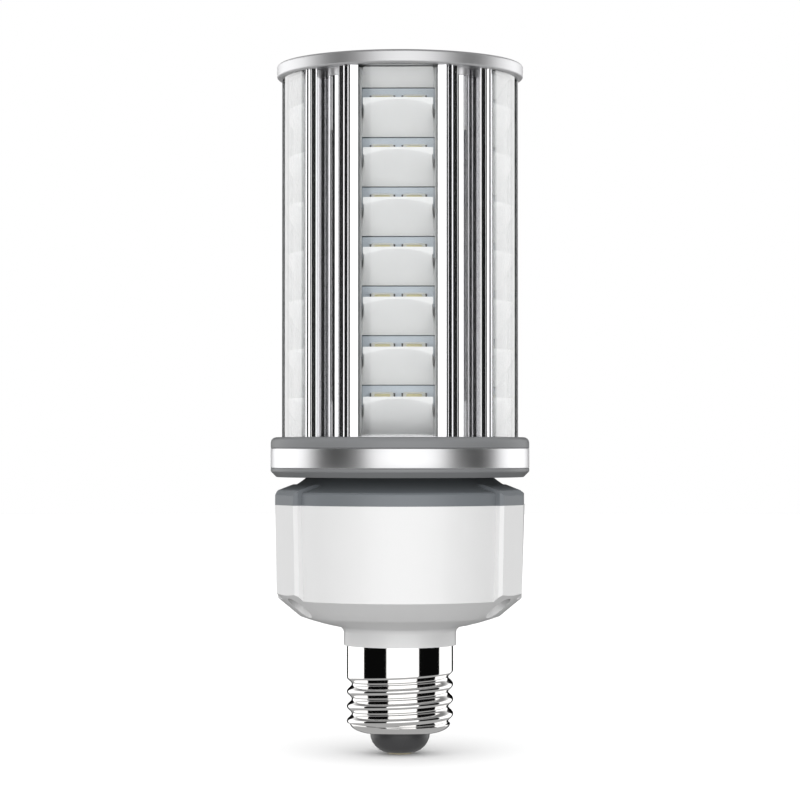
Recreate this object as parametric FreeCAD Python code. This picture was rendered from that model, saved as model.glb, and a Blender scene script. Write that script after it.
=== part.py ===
# Retrofit area lamp with five LED channels and a medium screw base.
#
# Millimetres, +Z up, base down. The origin is on the lamp's axis, at the end of the
# housing's collar, where the screw shell starts. The front is -Y, and the first of the
# five channels faces it. Angles round the axis are in degrees from the front, positive
# towards +X.

import FreeCAD, Part
import math
import os
from FreeCAD import Vector

# Channels round the axis
SIDES = 5
PITCH_ANGLE = 360.0 / SIDES
HALF_PITCH = PITCH_ANGLE / 2

# Heights along the axis
COLLAR_HEIGHT = 4.2
HOUSING_TOP = 34.6
NECK_BAND_HEIGHT = 2.7
NECK_FLARE_HEIGHT = 4.0
RING_HEIGHT = 9.8
SINK_LENGTH = 88.5
CAP_THICKNESS = 3.2

RING_BOTTOM = HOUSING_TOP + NECK_BAND_HEIGHT + NECK_FLARE_HEIGHT
SINK_BOTTOM = RING_BOTTOM + RING_HEIGHT
SINK_TOP = SINK_BOTTOM + SINK_LENGTH

# Widest radius, which the end cap, the base ring and the housing follow
BODY_RADIUS = 31.9

# Heat sink section
FLANGE_PLANE = 27.1
FLANGE_WIDTH = 2.6
FLANGE_ROUND = 0.9
CHANNEL_HALF_WIDTH = 9.5
CHANNEL_WALL = 1.6
FLOOR_PLANE = 20.2
FLOOR_WALL = 2.0
SINK_RADIUS = 28.9
FIN_OFFSET = 4.2
FIN_THICKNESS = 1.8
FIN_TIP_ROUND = 0.35
PORT_PLACE = 24.9
PORT_RADIUS = 2.4
PORT_SLOT = 0.8
PORT_WEB_SHARE = 0.6
VALLEY_FLOOR = 23.2
CORE_BORE_RADIUS = 8.0
CORE_WALL = 2.0
CELL_WEB = 1.8

# Boards and LED packages
BOARD_THICKNESS = 1.6
BOARD_HALF_WIDTH = 9.2
BOARD_END_GAP = 0.6
LED_WIDTH = 5.7
LED_HEIGHT = 3.0
LED_THICKNESS = 0.9
LED_SPACING = 7.6
LED_DROP = 0.3

# Clear covers
COVER_RADIUS = 29.1
COVER_THICKNESS = 1.0
COVER_FOOT = 1.0
SIDE_CLEARANCE = 0.1

# Reflector trays, whose lips stay clear of the covers
TIER_COUNT = 7
TIER_PITCH = 11.86
STRIP_HEIGHT = 2.95
LIP_START = 0.6
LIP_CLEARANCE = 0.3
LIP_RADIUS = COVER_RADIUS - COVER_THICKNESS - LIP_CLEARANCE
LIP_THICKNESS = 0.9
LEDGE_DEPTH = 2.4
LEDGE_LEAN = 1.4
LOUVRE_TOE = 0.4
LOUVRE_BULGE = 0.45
LOUVRE_TOP_HALF_WIDTH = 7.9
LOUVRE_FOOT_HALF_WIDTH = 8.7
RAIL_TOP_PLANE = LIP_RADIUS - 2.8
RAIL_WIDTH = 0.65
TRAY_FLOOR = 0.7
TRAY_END_GAP = 0.3

# End cap
CAP_RADIUS = BODY_RADIUS - 1.5
CAP_CHAMFER = 0.35
CAP_SPIGOT_HEIGHT = 1.9

# Base ring and trim band
RING_RADIUS = BODY_RADIUS
RING_TOP_ROUND = 1.4
RING_LIP_HEIGHT = 2.7
BAND_HEIGHT = 4.9
BAND_THICKNESS = 0.9
RING_CHAMFER = 1.4
RING_POCKET_INNER = 10.5
RING_POCKET_OUTER = 21.0
RING_TOP_PLATE = 4.6
RING_TAP_END = 1.5

# Driver housing
HOUSING_TOP_RADIUS = BODY_RADIUS - 1.15
HOUSING_FOOT_RADIUS = HOUSING_TOP_RADIUS - 0.75
HOUSING_FOOT = 11.6
HOUSING_WALL = 2.3
HOUSING_FLOOR = 8.0
DOME_EDGE_RADIUS = 24.7
DOME_EDGE = 7.2
DOME_BULGE = 0.8
CAVITY_FLOOR_INSET = 3.7
CAVITY_FOOT_RISE = 1.85
COLLAR_RADIUS = 13.85
COLLAR_FILLET = 1.0
SHOULDER_RISE = 0.3
LEAD_BORE_RADIUS = 7.0
BASE_SPIGOT_LENGTH = 14.0

# Screw lobes of the neck and the housing
LOBE_ANGLES = (60.0, 180.0, -60.0)
LOBE_PLANE = HOUSING_TOP_RADIUS + 1.25
LOBE_HALF_WIDTH = 5.6
LOBE_CORNER = 0.8
LOBE_DRAFT = 0.7
LOBE_BOSS_RADIUS = 4.4
LOBE_MARGIN = 2.0
HOLE_PLACE = LOBE_PLANE - 4.3
COUNTERBORE_RADIUS = 2.9
COUNTERBORE_END = 24.0

# Neck
NECK_RADIUS = 23.0
NECK_BAND_RADIUS = HOUSING_TOP_RADIUS - 0.15
NECK_SPIGOT_HEIGHT = 1.6
NECK_SPIGOT_WALL = 2.0
NECK_SPIGOT_CLEARANCE = 0.4
FLARE_INSET = 0.5
FLARE_RISE = 0.45
FLARE_HOLLOW = 2.4
FLARE_HOLLOW_SHARE = 0.56
LOBE_EDGE_DROP = 0.3
LOBE_EDGE_INSET = 1.2
LOBE_EDGE_RISE = 0.9
LOBE_TOP_INSET = 1.0
LOBE_TOP_GAP = 1.7
NECK_TAP_END = 3.0

# Screws
SCREW_RADIUS = 1.45
SCREW_CLEARANCE = 0.05
HEAD_RADIUS = 2.7
HEAD_CLEARANCE = 0.15
HEAD_HEIGHT = 2.2
HEAD_CHAMFER = 0.3
DRIVE_RADIUS = 1.1
DRIVE_DEPTH = 1.2
CAP_SCREW_LENGTH = 16.0
RING_SCREW_LENGTH = 16.0
HOUSING_SCREW_LENGTH = 13.0
NECK_SCREW_LENGTH = 9.0
NECK_SCREW_PLACE = 15.7

# Screw base
THREAD_PITCH = 3.629
SHELL_RADIUS = 13.1
SMOOTH_LENGTH = 5.6
CREST_STEP = 0.2
CREST_RADIUS = SHELL_RADIUS - CREST_STEP
THREAD_DEPTH = 1.0
GROOVE_SHARE = 0.92
GROOVE_STEPS = (-1.0, -0.5, -0.18, 0.18, 0.5, 1.0)
GROOVE_LIFT = 0.05
GROOVE_MARGIN = 1.0
GROOVE_TOP = 7.7
GROOVE_BOTTOM = 19.6
FRONT_GROOVE = 8.8
SHELL_LENGTH = 21.6
SHELL_BORE_RADIUS = 11.2
SHELL_BORE_CHAMFER = 1.5
SHELL_MOUTH_RADIUS = 7.4
SHELL_END_WALL = 1.4
SHELL_FOOT_RISE = 1.0
SHELL_FOOT_STEP = 0.2
SHELL_TURN_INSET = 1.4
SHELL_TURN_RISE = 0.65
INSULATOR_DEPTH = 4.7
INSULATOR_FLAT_RADIUS = 4.0
INSULATOR_PLUG_LENGTH = 3.4
INSULATOR_BULGE = 0.75
INSULATOR_DROP = 2.9
CONTACT_RADIUS = 3.1
CONTACT_TAPER = 0.4
CONTACT_THICKNESS = 0.5
CONTACT_STEM_RADIUS = 1.2
CONTACT_STEM_RISE = 0.6

# Driver, whose board touches the lead on the axis
LEAD_RADIUS = 0.8
DRIVER_PLANE = LEAD_RADIUS
DRIVER_THICKNESS = 1.6
DRIVER_HALF_WIDTH = 21.0
DRIVER_LENGTH = 23.0
DRIVER_NOTCH = 6.6
SEAT_GAP = 0.2
CORE_WIDTH = 16.0
CORE_DEPTH = 13.0
CORE_HEIGHT = 14.0
CORE_CHAMFER = 1.0
WINDING_RADIUS = 5.6
WINDING_REACH = 1.5
CAN_RADIUS = 3.6
CAN_LENGTH = 16.0
CAN_CHAMFER = 0.4
CAN_SPACING = 29.0
CAN_RISE = 3.0
CHIP_DEPTH = 1.6
CHIP_HEIGHT = 4.0
LEAD_SPACING = 6.0
LEAD_OVERLAP = 3.0
INPUT_OVERLAP = 4.0
OUTPUT_LEAD_LENGTH = 84.0

# Place across, height above the board's foot and width of each chip
CHIPS = ((-14.5, 8.0, 6.0), (-16.5, 16.5, 4.0), (15.5, 12.0, 5.0))


def save(shape, node):
    """Writes one sub-part as parts/NODE.step."""
    if not shape.isValid():
        print("not valid:", node)
    shape.exportStep("parts/" + node + ".step")
    print(node, "solids", len(shape.Solids), "volume", round(shape.Volume, 1))


def turned(shape, angle):
    """Returns a copy turned about the lamp's axis from the front to an angle."""
    copy = shape.copy()
    copy.rotate(Vector(0, 0, 0), Vector(0, 0, 1), angle)
    return copy


def around(shape, angles):
    """Returns copies of a front shape at each of the angles."""
    return [turned(shape, angle) for angle in angles]


def face_of(edges):
    """Returns the flat face inside a closed run of edges."""
    return Part.Face(Part.Wire(edges))


def polygon(points):
    """Returns the flat face of a closed polygon."""
    return Part.Face(Part.makePolygon(points + [points[0]]))


def line(start, end):
    """Returns a straight edge."""
    return Part.LineSegment(start, end).toShape()


def arc(start, middle, end):
    """Returns an arc through three points."""
    return Part.Arc(start, middle, end).toShape()


def bent(start, middle, end, steps):
    """Returns straight edges that follow the arc through three points."""
    corners = arc(start, middle, end).discretize(steps + 1)
    corners[0] = start
    corners[-1] = end
    return [line(near, far) for near, far in zip(corners, corners[1:])]


def upright(face, bottom, top):
    """Extrudes a face drawn at height 0 from one height to another."""
    solid = face.extrude(Vector(0, 0, top - bottom))
    solid.translate(Vector(0, 0, bottom))
    return solid


def front(across, out, height=0.0):
    """Returns a point of a front sub-part from its distance across and out."""
    return Vector(across, -out, height)


def slab(half_width, inner, outer, bottom, top):
    """Returns a block that faces the front, centred across."""
    block = Part.makeBox(2 * half_width, outer - inner, top - bottom)
    block.translate(Vector(-half_width, -outer, bottom))
    return block


def rod(radius, bottom, top, out=0.0):
    """Returns a vertical cylinder at a distance towards the front."""
    return Part.makeCylinder(radius, top - bottom, front(0, out, bottom))


def spun(points):
    """Revolves a closed outline of (radius, height) points about the axis."""
    outline = [Vector(radius, 0, height) for radius, height in points]
    return polygon(outline).revolve(Vector(0, 0, 0), Vector(0, 0, 1), 360)


def spun_edges(edges):
    """Revolves a closed run of edges in the XZ plane about the axis."""
    return face_of(edges).revolve(Vector(0, 0, 0), Vector(0, 0, 1), 360)


def screw(length, up):
    """Returns a screw at the origin: the head's bearing face at height 0.

    The shank runs up or down from there, and the head has a hexagonal recess.
    """
    direction = 1 if up else -1
    shank = Part.makeCylinder(SCREW_RADIUS, length, Vector(0, 0, 0), Vector(0, 0, direction))
    head = Part.makeCylinder(HEAD_RADIUS, HEAD_HEIGHT, Vector(0, 0, 0), Vector(0, 0, -direction))
    far_edge = [edge for edge in head.Edges
                if abs(edge.BoundBox.ZMin + direction * HEAD_HEIGHT) < 0.001
                and abs(edge.BoundBox.ZMax + direction * HEAD_HEIGHT) < 0.001]
    head = head.makeChamfer(HEAD_CHAMFER, far_edge)
    corners = [Vector(DRIVE_RADIUS * math.cos(math.radians(60 * step)),
                      DRIVE_RADIUS * math.sin(math.radians(60 * step)), -direction * HEAD_HEIGHT)
               for step in range(6)]
    recess = polygon(corners).extrude(Vector(0, 0, direction * DRIVE_DEPTH))
    return head.fuse(shank).cut(recess).removeSplitter()


def placed(shape, out, height):
    """Moves a copy of an axial shape towards the front and up."""
    copy = shape.copy()
    copy.translate(front(0, out, height))
    return copy


# Heat sink


def channel_face():
    """Returns the section of one channel's arms, drawn for the front channel."""
    wall_out = CHANNEL_HALF_WIDTH + CHANNEL_WALL
    flange_out = CHANNEL_HALF_WIDTH + FLANGE_WIDTH
    under = FLANGE_PLANE - 2 * FLANGE_ROUND
    half = FLANGE_ROUND * math.sqrt(0.5)
    centre_across = flange_out - FLANGE_ROUND
    centre_out = FLANGE_PLANE - FLANGE_ROUND
    arms = []
    for side in (-1, 1):
        edges = [
            line(front(side * CHANNEL_HALF_WIDTH, FLOOR_PLANE - FLOOR_WALL),
                 front(side * CHANNEL_HALF_WIDTH, FLANGE_PLANE)),
            line(front(side * CHANNEL_HALF_WIDTH, FLANGE_PLANE),
                 front(side * centre_across, FLANGE_PLANE)),
            arc(front(side * centre_across, FLANGE_PLANE),
                front(side * (centre_across + half), centre_out + half),
                front(side * flange_out, centre_out)),
            line(front(side * flange_out, centre_out), front(side * wall_out, under)),
            line(front(side * wall_out, under), front(side * wall_out, FLOOR_PLANE - FLOOR_WALL)),
            line(front(side * wall_out, FLOOR_PLANE - FLOOR_WALL),
                 front(side * CHANNEL_HALF_WIDTH, FLOOR_PLANE - FLOOR_WALL)),
        ]
        arms.append(face_of(edges))
    return arms


def valley_tools(bottom, top):
    """Returns what stands between two channels: two fins and a screw port."""
    fins = []
    for side in (-1, 1):
        fin = slab(FIN_THICKNESS / 2, VALLEY_FLOOR - FLOOR_WALL, SINK_RADIUS, bottom, top)
        tips = [edge for edge in fin.Edges
                if abs(edge.BoundBox.YMin + SINK_RADIUS) < 0.001
                and edge.BoundBox.ZLength > 1]
        fin = fin.makeFillet(FIN_TIP_ROUND, tips)
        fin.translate(Vector(side * FIN_OFFSET, 0, 0))
        fins.append(fin)
    port = rod(PORT_RADIUS, bottom, top - CAP_SPIGOT_HEIGHT, PORT_PLACE)
    web = slab(PORT_RADIUS * PORT_WEB_SHARE, VALLEY_FLOOR - FLOOR_WALL, PORT_PLACE,
               bottom, top - CAP_SPIGOT_HEIGHT)
    return fins, port.fuse(web)


def core_face():
    """Returns the solid middle of the section, with a side behind each channel."""
    across = CHANNEL_HALF_WIDTH + CHANNEL_WALL
    corners = []
    for index in range(SIDES):
        angle = math.radians(index * PITCH_ANGLE)
        for side in (-1, 1):
            out = FLOOR_PLANE
            radius_x = side * across * math.cos(angle) + out * math.sin(angle)
            radius_y = side * across * math.sin(angle) - out * math.cos(angle)
            corners.append(Vector(radius_x, radius_y, 0))
    return polygon(corners)


def core_cell(bottom, top):
    """Returns one hollow of the core, half a channel wide, right of the front."""
    inner = CORE_BORE_RADIUS + CORE_WALL
    outer = FLOOR_PLANE - FLOOR_WALL
    web = CELL_WEB / 2
    slope = math.tan(math.radians(HALF_PITCH))
    tilt = web / math.cos(math.radians(HALF_PITCH))
    points = [front(web, inner), front(inner * slope - tilt, inner),
              front(outer * slope - tilt, outer), front(web, outer)]
    return upright(polygon(points), bottom, top)


def heat_sink():
    """Returns the extrusion: core, channels, fins and screw ports."""
    bottom = SINK_BOTTOM
    top = SINK_TOP
    sides = [index * PITCH_ANGLE for index in range(SIDES)]
    middles = [angle + HALF_PITCH for angle in sides]
    body = upright(core_face(), bottom, top)
    added = []
    for arm in channel_face():
        added += around(upright(arm, bottom, top), sides)
    fins, port = valley_tools(bottom, top)
    for fin in fins:
        added += around(fin, middles)
    added += around(port, middles)
    body = body.multiFuse(added)
    channel = slab(CHANNEL_HALF_WIDTH, FLOOR_PLANE, FLANGE_PLANE + 1, bottom, top)
    bore_radius = SCREW_RADIUS + SCREW_CLEARANCE
    bore = rod(bore_radius, bottom, top, PORT_PLACE)
    slot = slab(PORT_SLOT / 2, PORT_PLACE, SINK_RADIUS, bottom, top)
    seat = rod(PORT_RADIUS + SIDE_CLEARANCE, top - CAP_SPIGOT_HEIGHT, top, PORT_PLACE)
    cell = core_cell(bottom, top)
    mirrored = cell.mirror(Vector(0, 0, 0), Vector(1, 0, 0))
    cuts = around(channel, sides) + around(bore, middles) + around(slot, middles)
    cuts += around(seat, middles) + around(cell, sides) + around(mirrored, sides)
    cuts.append(rod(CORE_BORE_RADIUS, bottom, top))
    return body.cut(cuts).removeSplitter()


# Channel contents


def tier_lip(tier):
    """Returns the height of the lip of one tier, counted from the bottom."""
    first = SINK_BOTTOM + TIER_PITCH - STRIP_HEIGHT + LIP_START
    return first + tier * TIER_PITCH


def led_board():
    """Returns the strip board of the front channel."""
    outer = FLOOR_PLANE + BOARD_THICKNESS
    return slab(BOARD_HALF_WIDTH, FLOOR_PLANE, outer,
                SINK_BOTTOM + BOARD_END_GAP, SINK_TOP - BOARD_END_GAP)


def led_packages():
    """Returns the rows of LED packages of the front channel."""
    face = FLOOR_PLANE + BOARD_THICKNESS
    packages = []
    for tier in range(TIER_COUNT):
        middle = tier_lip(tier) - LED_DROP
        for side in (-1, 1):
            package = slab(LED_WIDTH / 2, face, face + LED_THICKNESS,
                           middle - LED_HEIGHT / 2, middle + LED_HEIGHT / 2)
            package.translate(Vector(side * LED_SPACING / 2, 0, 0))
            packages.append(package)
    return Part.makeCompound(packages)


def louvre(lip):
    """Returns one sloped louvre with its hollow behind the lip, at one height."""
    face = FLOOR_PLANE + BOARD_THICKNESS
    foot = lip - (TIER_PITCH - STRIP_HEIGHT)
    middle = (foot + lip) / 2
    middle_out = (face + LOUVRE_TOE + LIP_RADIUS) / 2 + LOUVRE_BULGE
    inside_top = LIP_RADIUS - LIP_THICKNESS
    toe = front(0, face + LOUVRE_TOE, foot)
    points = [front(0, LIP_RADIUS, lip), front(0, inside_top, lip),
              front(0, inside_top - LEDGE_LEAN, lip - LEDGE_DEPTH),
              front(0, face, lip - LEDGE_DEPTH), front(0, face, foot), toe]
    edges = [line(start, end) for start, end in zip(points, points[1:])]
    edges += bent(toe, front(0, middle_out, middle), points[0], 4)
    body = face_of(edges).extrude(Vector(2 * LOUVRE_FOOT_HALF_WIDTH, 0, 0))
    body.translate(Vector(-LOUVRE_FOOT_HALF_WIDTH, 0, 0))
    return body


def louvre_envelope(bottom, top):
    """Returns the drafted bar that trims all louvres of the front channel."""
    face = FLOOR_PLANE + BOARD_THICKNESS
    points = [front(-LOUVRE_FOOT_HALF_WIDTH, face), front(LOUVRE_FOOT_HALF_WIDTH, face),
              front(LOUVRE_TOP_HALF_WIDTH, LIP_RADIUS), front(-LOUVRE_TOP_HALF_WIDTH, LIP_RADIUS)]
    return upright(polygon(points), bottom, top).common(rod(LIP_RADIUS, bottom, top))


def reflector():
    """Returns the tray of the front channel: rails, floor pads and louvres."""
    face = FLOOR_PLANE + BOARD_THICKNESS
    bottom = SINK_BOTTOM + TRAY_END_GAP
    top = SINK_TOP - TRAY_END_GAP
    rail_out = CHANNEL_HALF_WIDTH - SIDE_CLEARANCE
    louvres = []
    pads = []
    for tier in range(TIER_COUNT + 1):
        lip = tier_lip(tier)
        louvres.append(louvre(lip))
        foot = lip - (TIER_PITCH - STRIP_HEIGHT)
        pads.append(slab(rail_out, face, face + TRAY_FLOOR, foot,
                         min(lip - LEDGE_DEPTH, top)))
    trimmed = Part.makeCompound(louvres).common(louvre_envelope(bottom, top))
    rails = []
    for side in (-1, 1):
        rail = slab(RAIL_WIDTH / 2, face, RAIL_TOP_PLANE, bottom, top)
        rail.translate(Vector(side * (rail_out - RAIL_WIDTH / 2), 0, 0))
        rails.append(rail)
    tray = rails[0].multiFuse(rails[1:] + pads + trimmed.Solids)
    board_end = slab(rail_out, FLOOR_PLANE, LIP_RADIUS, bottom, top)
    return tray.common(board_end).removeSplitter()


def cover():
    """Returns the bowed clear cover of the front channel, with its two feet."""
    bottom = SINK_BOTTOM
    top = SINK_TOP
    across = CHANNEL_HALF_WIDTH - SIDE_CLEARANCE
    inner = COVER_RADIUS - COVER_THICKNESS
    bow = rod(COVER_RADIUS, bottom, top).cut(rod(inner, bottom, top))
    bow = bow.common(slab(across, FLOOR_PLANE, COVER_RADIUS, bottom, top))
    feet = []
    for side in (-1, 1):
        foot = slab(COVER_FOOT / 2, RAIL_TOP_PLANE, COVER_RADIUS, bottom, top)
        foot.translate(Vector(side * (across - COVER_FOOT / 2), 0, 0))
        feet.append(foot.common(rod(COVER_RADIUS, bottom, top)))
    return bow.multiFuse(feet).removeSplitter()


# End cap and screws


def top_cap():
    """Returns the end cap with its spigots and countersunk screw holes."""
    bottom = SINK_TOP
    top = bottom + CAP_THICKNESS
    disc = spun([(0, bottom), (CAP_RADIUS - CAP_CHAMFER, bottom),
                 (CAP_RADIUS, bottom + CAP_CHAMFER), (CAP_RADIUS, top - CAP_CHAMFER),
                 (CAP_RADIUS - CAP_CHAMFER, top), (0, top)])
    spigot = rod(PORT_RADIUS, bottom - CAP_SPIGOT_HEIGHT, bottom, PORT_PLACE)
    hole = rod(SCREW_RADIUS + 2 * SCREW_CLEARANCE, bottom - CAP_SPIGOT_HEIGHT, top, PORT_PLACE)
    seat = rod(HEAD_RADIUS + HEAD_CLEARANCE, top - HEAD_HEIGHT, top, PORT_PLACE)
    middles = [index * PITCH_ANGLE + HALF_PITCH for index in range(SIDES)]
    cap = disc.multiFuse(around(spigot, middles))
    return cap.cut(around(hole, middles) + around(seat, middles)).removeSplitter()


def cap_screws():
    """Returns the five screws of the end cap, heads flush with its top."""
    height = SINK_TOP + CAP_THICKNESS - HEAD_HEIGHT
    one = placed(screw(CAP_SCREW_LENGTH, False), PORT_PLACE, height)
    middles = [index * PITCH_ANGLE + HALF_PITCH for index in range(SIDES)]
    return Part.makeCompound(around(one, middles))


# Base ring and trim band


def base_ring():
    """Returns the ring under the heat sink, with its groove and screw holes."""
    top = SINK_BOTTOM
    bottom = RING_BOTTOM
    groove_top = top - RING_LIP_HEIGHT
    groove_bottom = groove_top - BAND_HEIGHT
    groove = RING_RADIUS - BAND_THICKNESS
    half = RING_TOP_ROUND * (1 - math.sqrt(0.5))
    points = [Vector(CORE_BORE_RADIUS, 0, bottom), Vector(RING_RADIUS - RING_CHAMFER, 0, bottom),
              Vector(RING_RADIUS, 0, bottom + RING_CHAMFER), Vector(RING_RADIUS, 0, groove_bottom),
              Vector(groove, 0, groove_bottom), Vector(groove, 0, groove_top),
              Vector(RING_RADIUS, 0, groove_top), Vector(RING_RADIUS, 0, top - RING_TOP_ROUND)]
    edges = [line(start, end) for start, end in zip(points, points[1:])]
    round_end = Vector(RING_RADIUS - RING_TOP_ROUND, 0, top)
    edges += bent(points[-1], Vector(RING_RADIUS - half, 0, top - half), round_end, 4)
    edges.append(line(round_end, Vector(CORE_BORE_RADIUS, 0, top)))
    edges.append(line(Vector(CORE_BORE_RADIUS, 0, top), points[0]))
    body = spun_edges(edges)
    pocket = rod(RING_POCKET_OUTER, bottom, top - RING_TOP_PLATE)
    pocket = pocket.cut(rod(RING_POCKET_INNER, bottom, top - RING_TOP_PLATE))
    pad = rod(LOBE_BOSS_RADIUS, bottom, top - RING_TOP_PLATE, NECK_SCREW_PLACE)
    pocket = pocket.cut(around(pad, LOBE_ANGLES))
    middles = [index * PITCH_ANGLE + HALF_PITCH for index in range(SIDES)]
    seat_top = bottom + HEAD_HEIGHT + SEAT_GAP
    hole = rod(SCREW_RADIUS + 2 * SCREW_CLEARANCE, bottom, top, PORT_PLACE)
    seat = rod(HEAD_RADIUS + HEAD_CLEARANCE, bottom, seat_top, PORT_PLACE)
    tapped = rod(SCREW_RADIUS + SCREW_CLEARANCE, bottom, top - RING_TAP_END, NECK_SCREW_PLACE)
    return body.cut([pocket] + around(hole, middles) + around(seat, middles)
                    + around(tapped, LOBE_ANGLES)).removeSplitter()


def ring_screws():
    """Returns the five screws that hold the heat sink on the ring."""
    one = placed(screw(RING_SCREW_LENGTH, True), PORT_PLACE, RING_BOTTOM + HEAD_HEIGHT + SEAT_GAP)
    middles = [index * PITCH_ANGLE + HALF_PITCH for index in range(SIDES)]
    return Part.makeCompound(around(one, middles))


def trim_band():
    """Returns the metal band that fills the ring's groove."""
    top = SINK_BOTTOM - RING_LIP_HEIGHT
    return spun([(RING_RADIUS - BAND_THICKNESS, top - BAND_HEIGHT), (RING_RADIUS, top - BAND_HEIGHT),
                 (RING_RADIUS, top), (RING_RADIUS - BAND_THICKNESS, top)])


# Neck


def lobe_outline(plane):
    """Returns the section wire of one front screw lobe, at height 0."""
    inner = HOLE_PLACE - LOBE_BOSS_RADIUS
    corner = LOBE_HALF_WIDTH - LOBE_CORNER
    points = [front(-LOBE_HALF_WIDTH, inner), front(LOBE_HALF_WIDTH, inner),
              front(LOBE_HALF_WIDTH, plane - LOBE_CORNER), front(corner, plane),
              front(-corner, plane), front(-LOBE_HALF_WIDTH, plane - LOBE_CORNER)]
    return Part.makePolygon(points + [points[0]])


def neck():
    """Returns the neck: plate, concave flare, lobes and locating spigot."""
    bottom = HOUSING_TOP
    top = RING_BOTTOM
    band_top = bottom + NECK_BAND_HEIGHT
    flare_bottom = Vector(NECK_BAND_RADIUS - FLARE_INSET, 0, band_top + FLARE_RISE)
    flare_top = Vector(NECK_RADIUS, 0, top)
    hollow = Vector(NECK_RADIUS + FLARE_HOLLOW, 0,
                    band_top + NECK_FLARE_HEIGHT * FLARE_HOLLOW_SHARE)
    points = [Vector(CORE_BORE_RADIUS, 0, bottom), Vector(NECK_BAND_RADIUS, 0, bottom),
              Vector(NECK_BAND_RADIUS, 0, band_top), flare_bottom]
    edges = [line(start, end) for start, end in zip(points, points[1:])]
    edges += bent(flare_bottom, hollow, flare_top, 6)
    edges.append(line(flare_top, Vector(CORE_BORE_RADIUS, 0, top)))
    edges.append(line(Vector(CORE_BORE_RADIUS, 0, top), points[0]))
    body = spun_edges(edges)
    lobe = Part.Face(lobe_outline(LOBE_PLANE)).extrude(Vector(0, 0, top - bottom))
    lobe.translate(Vector(0, 0, bottom))
    lobe_top = top - LOBE_TOP_GAP
    slope = [front(0, 0, bottom), front(0, LOBE_PLANE, bottom),
             front(0, LOBE_PLANE, band_top - LOBE_EDGE_DROP),
             front(0, LOBE_PLANE - LOBE_EDGE_INSET, band_top + LOBE_EDGE_RISE),
             front(0, HOLE_PLACE - LOBE_TOP_INSET, lobe_top), front(0, 0, lobe_top)]
    profile = polygon(slope).extrude(Vector(2 * LOBE_HALF_WIDTH, 0, 0))
    profile.translate(Vector(-LOBE_HALF_WIDTH, 0, 0))
    lobe = lobe.common(profile)
    spigot_radius = HOUSING_TOP_RADIUS - HOUSING_WALL - NECK_SPIGOT_CLEARANCE
    spigot = rod(spigot_radius, bottom - NECK_SPIGOT_HEIGHT, bottom)
    spigot = spigot.cut(rod(spigot_radius - NECK_SPIGOT_WALL, bottom - NECK_SPIGOT_HEIGHT, bottom))
    relief = rod(LOBE_BOSS_RADIUS + SEAT_GAP, bottom - NECK_SPIGOT_HEIGHT, bottom, HOLE_PLACE)
    spigot = spigot.cut(around(relief, LOBE_ANGLES))
    body = body.multiFuse(around(lobe, LOBE_ANGLES) + spigot.Solids)
    tapped = rod(SCREW_RADIUS + SCREW_CLEARANCE, bottom, top - NECK_TAP_END, HOLE_PLACE)
    hole = rod(SCREW_RADIUS + 2 * SCREW_CLEARANCE, bottom, top, NECK_SCREW_PLACE)
    seat = rod(HEAD_RADIUS + HEAD_CLEARANCE, bottom, bottom + HEAD_HEIGHT + SEAT_GAP,
               NECK_SCREW_PLACE)
    return body.cut(around(tapped, LOBE_ANGLES) + around(hole, LOBE_ANGLES)
                    + around(seat, LOBE_ANGLES)).removeSplitter()


def neck_screws():
    """Returns the three screws that hold the neck under the ring."""
    height = HOUSING_TOP + HEAD_HEIGHT + SEAT_GAP
    one = placed(screw(NECK_SCREW_LENGTH, True), NECK_SCREW_PLACE, height)
    return Part.makeCompound(around(one, LOBE_ANGLES))


# Driver housing


def dome_edges(foot_radius, foot_height, top_radius):
    """Returns the outside outline from the axis over the dome and up the wall."""
    start = Vector(0, 0, 0)
    collar_top = COLLAR_HEIGHT - COLLAR_FILLET
    fillet_middle = COLLAR_FILLET * (1 - math.sqrt(0.5))
    points = {
        "collar": Vector(COLLAR_RADIUS, 0, 0),
        "collar_top": Vector(COLLAR_RADIUS, 0, collar_top),
        "fillet": Vector(COLLAR_RADIUS + fillet_middle, 0, COLLAR_HEIGHT - fillet_middle),
        "shoulder": Vector(COLLAR_RADIUS + COLLAR_FILLET, 0, COLLAR_HEIGHT + SHOULDER_RISE),
        "bowl": Vector((COLLAR_RADIUS + DOME_EDGE_RADIUS) / 2 + DOME_BULGE, 0,
                       (COLLAR_HEIGHT + DOME_EDGE) / 2),
        "edge": Vector(DOME_EDGE_RADIUS, 0, DOME_EDGE),
        "foot": Vector(foot_radius, 0, foot_height),
        "top": Vector(top_radius, 0, HOUSING_TOP),
    }
    return [
        line(start, points["collar"]),
        line(points["collar"], points["collar_top"]),
        *bent(points["collar_top"], points["fillet"], points["shoulder"], 3),
        *bent(points["shoulder"], points["bowl"], points["edge"], 4),
        line(points["edge"], points["foot"]),
        line(points["foot"], points["top"]),
        line(points["top"], Vector(0, 0, HOUSING_TOP)),
        line(Vector(0, 0, HOUSING_TOP), start),
    ]


def dome_height(radius):
    """Returns the height of the dome's straight slope at a radius."""
    slope = (HOUSING_FOOT - DOME_EDGE) / (HOUSING_FOOT_RADIUS - DOME_EDGE_RADIUS)
    return DOME_EDGE + slope * (radius - DOME_EDGE_RADIUS)


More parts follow.
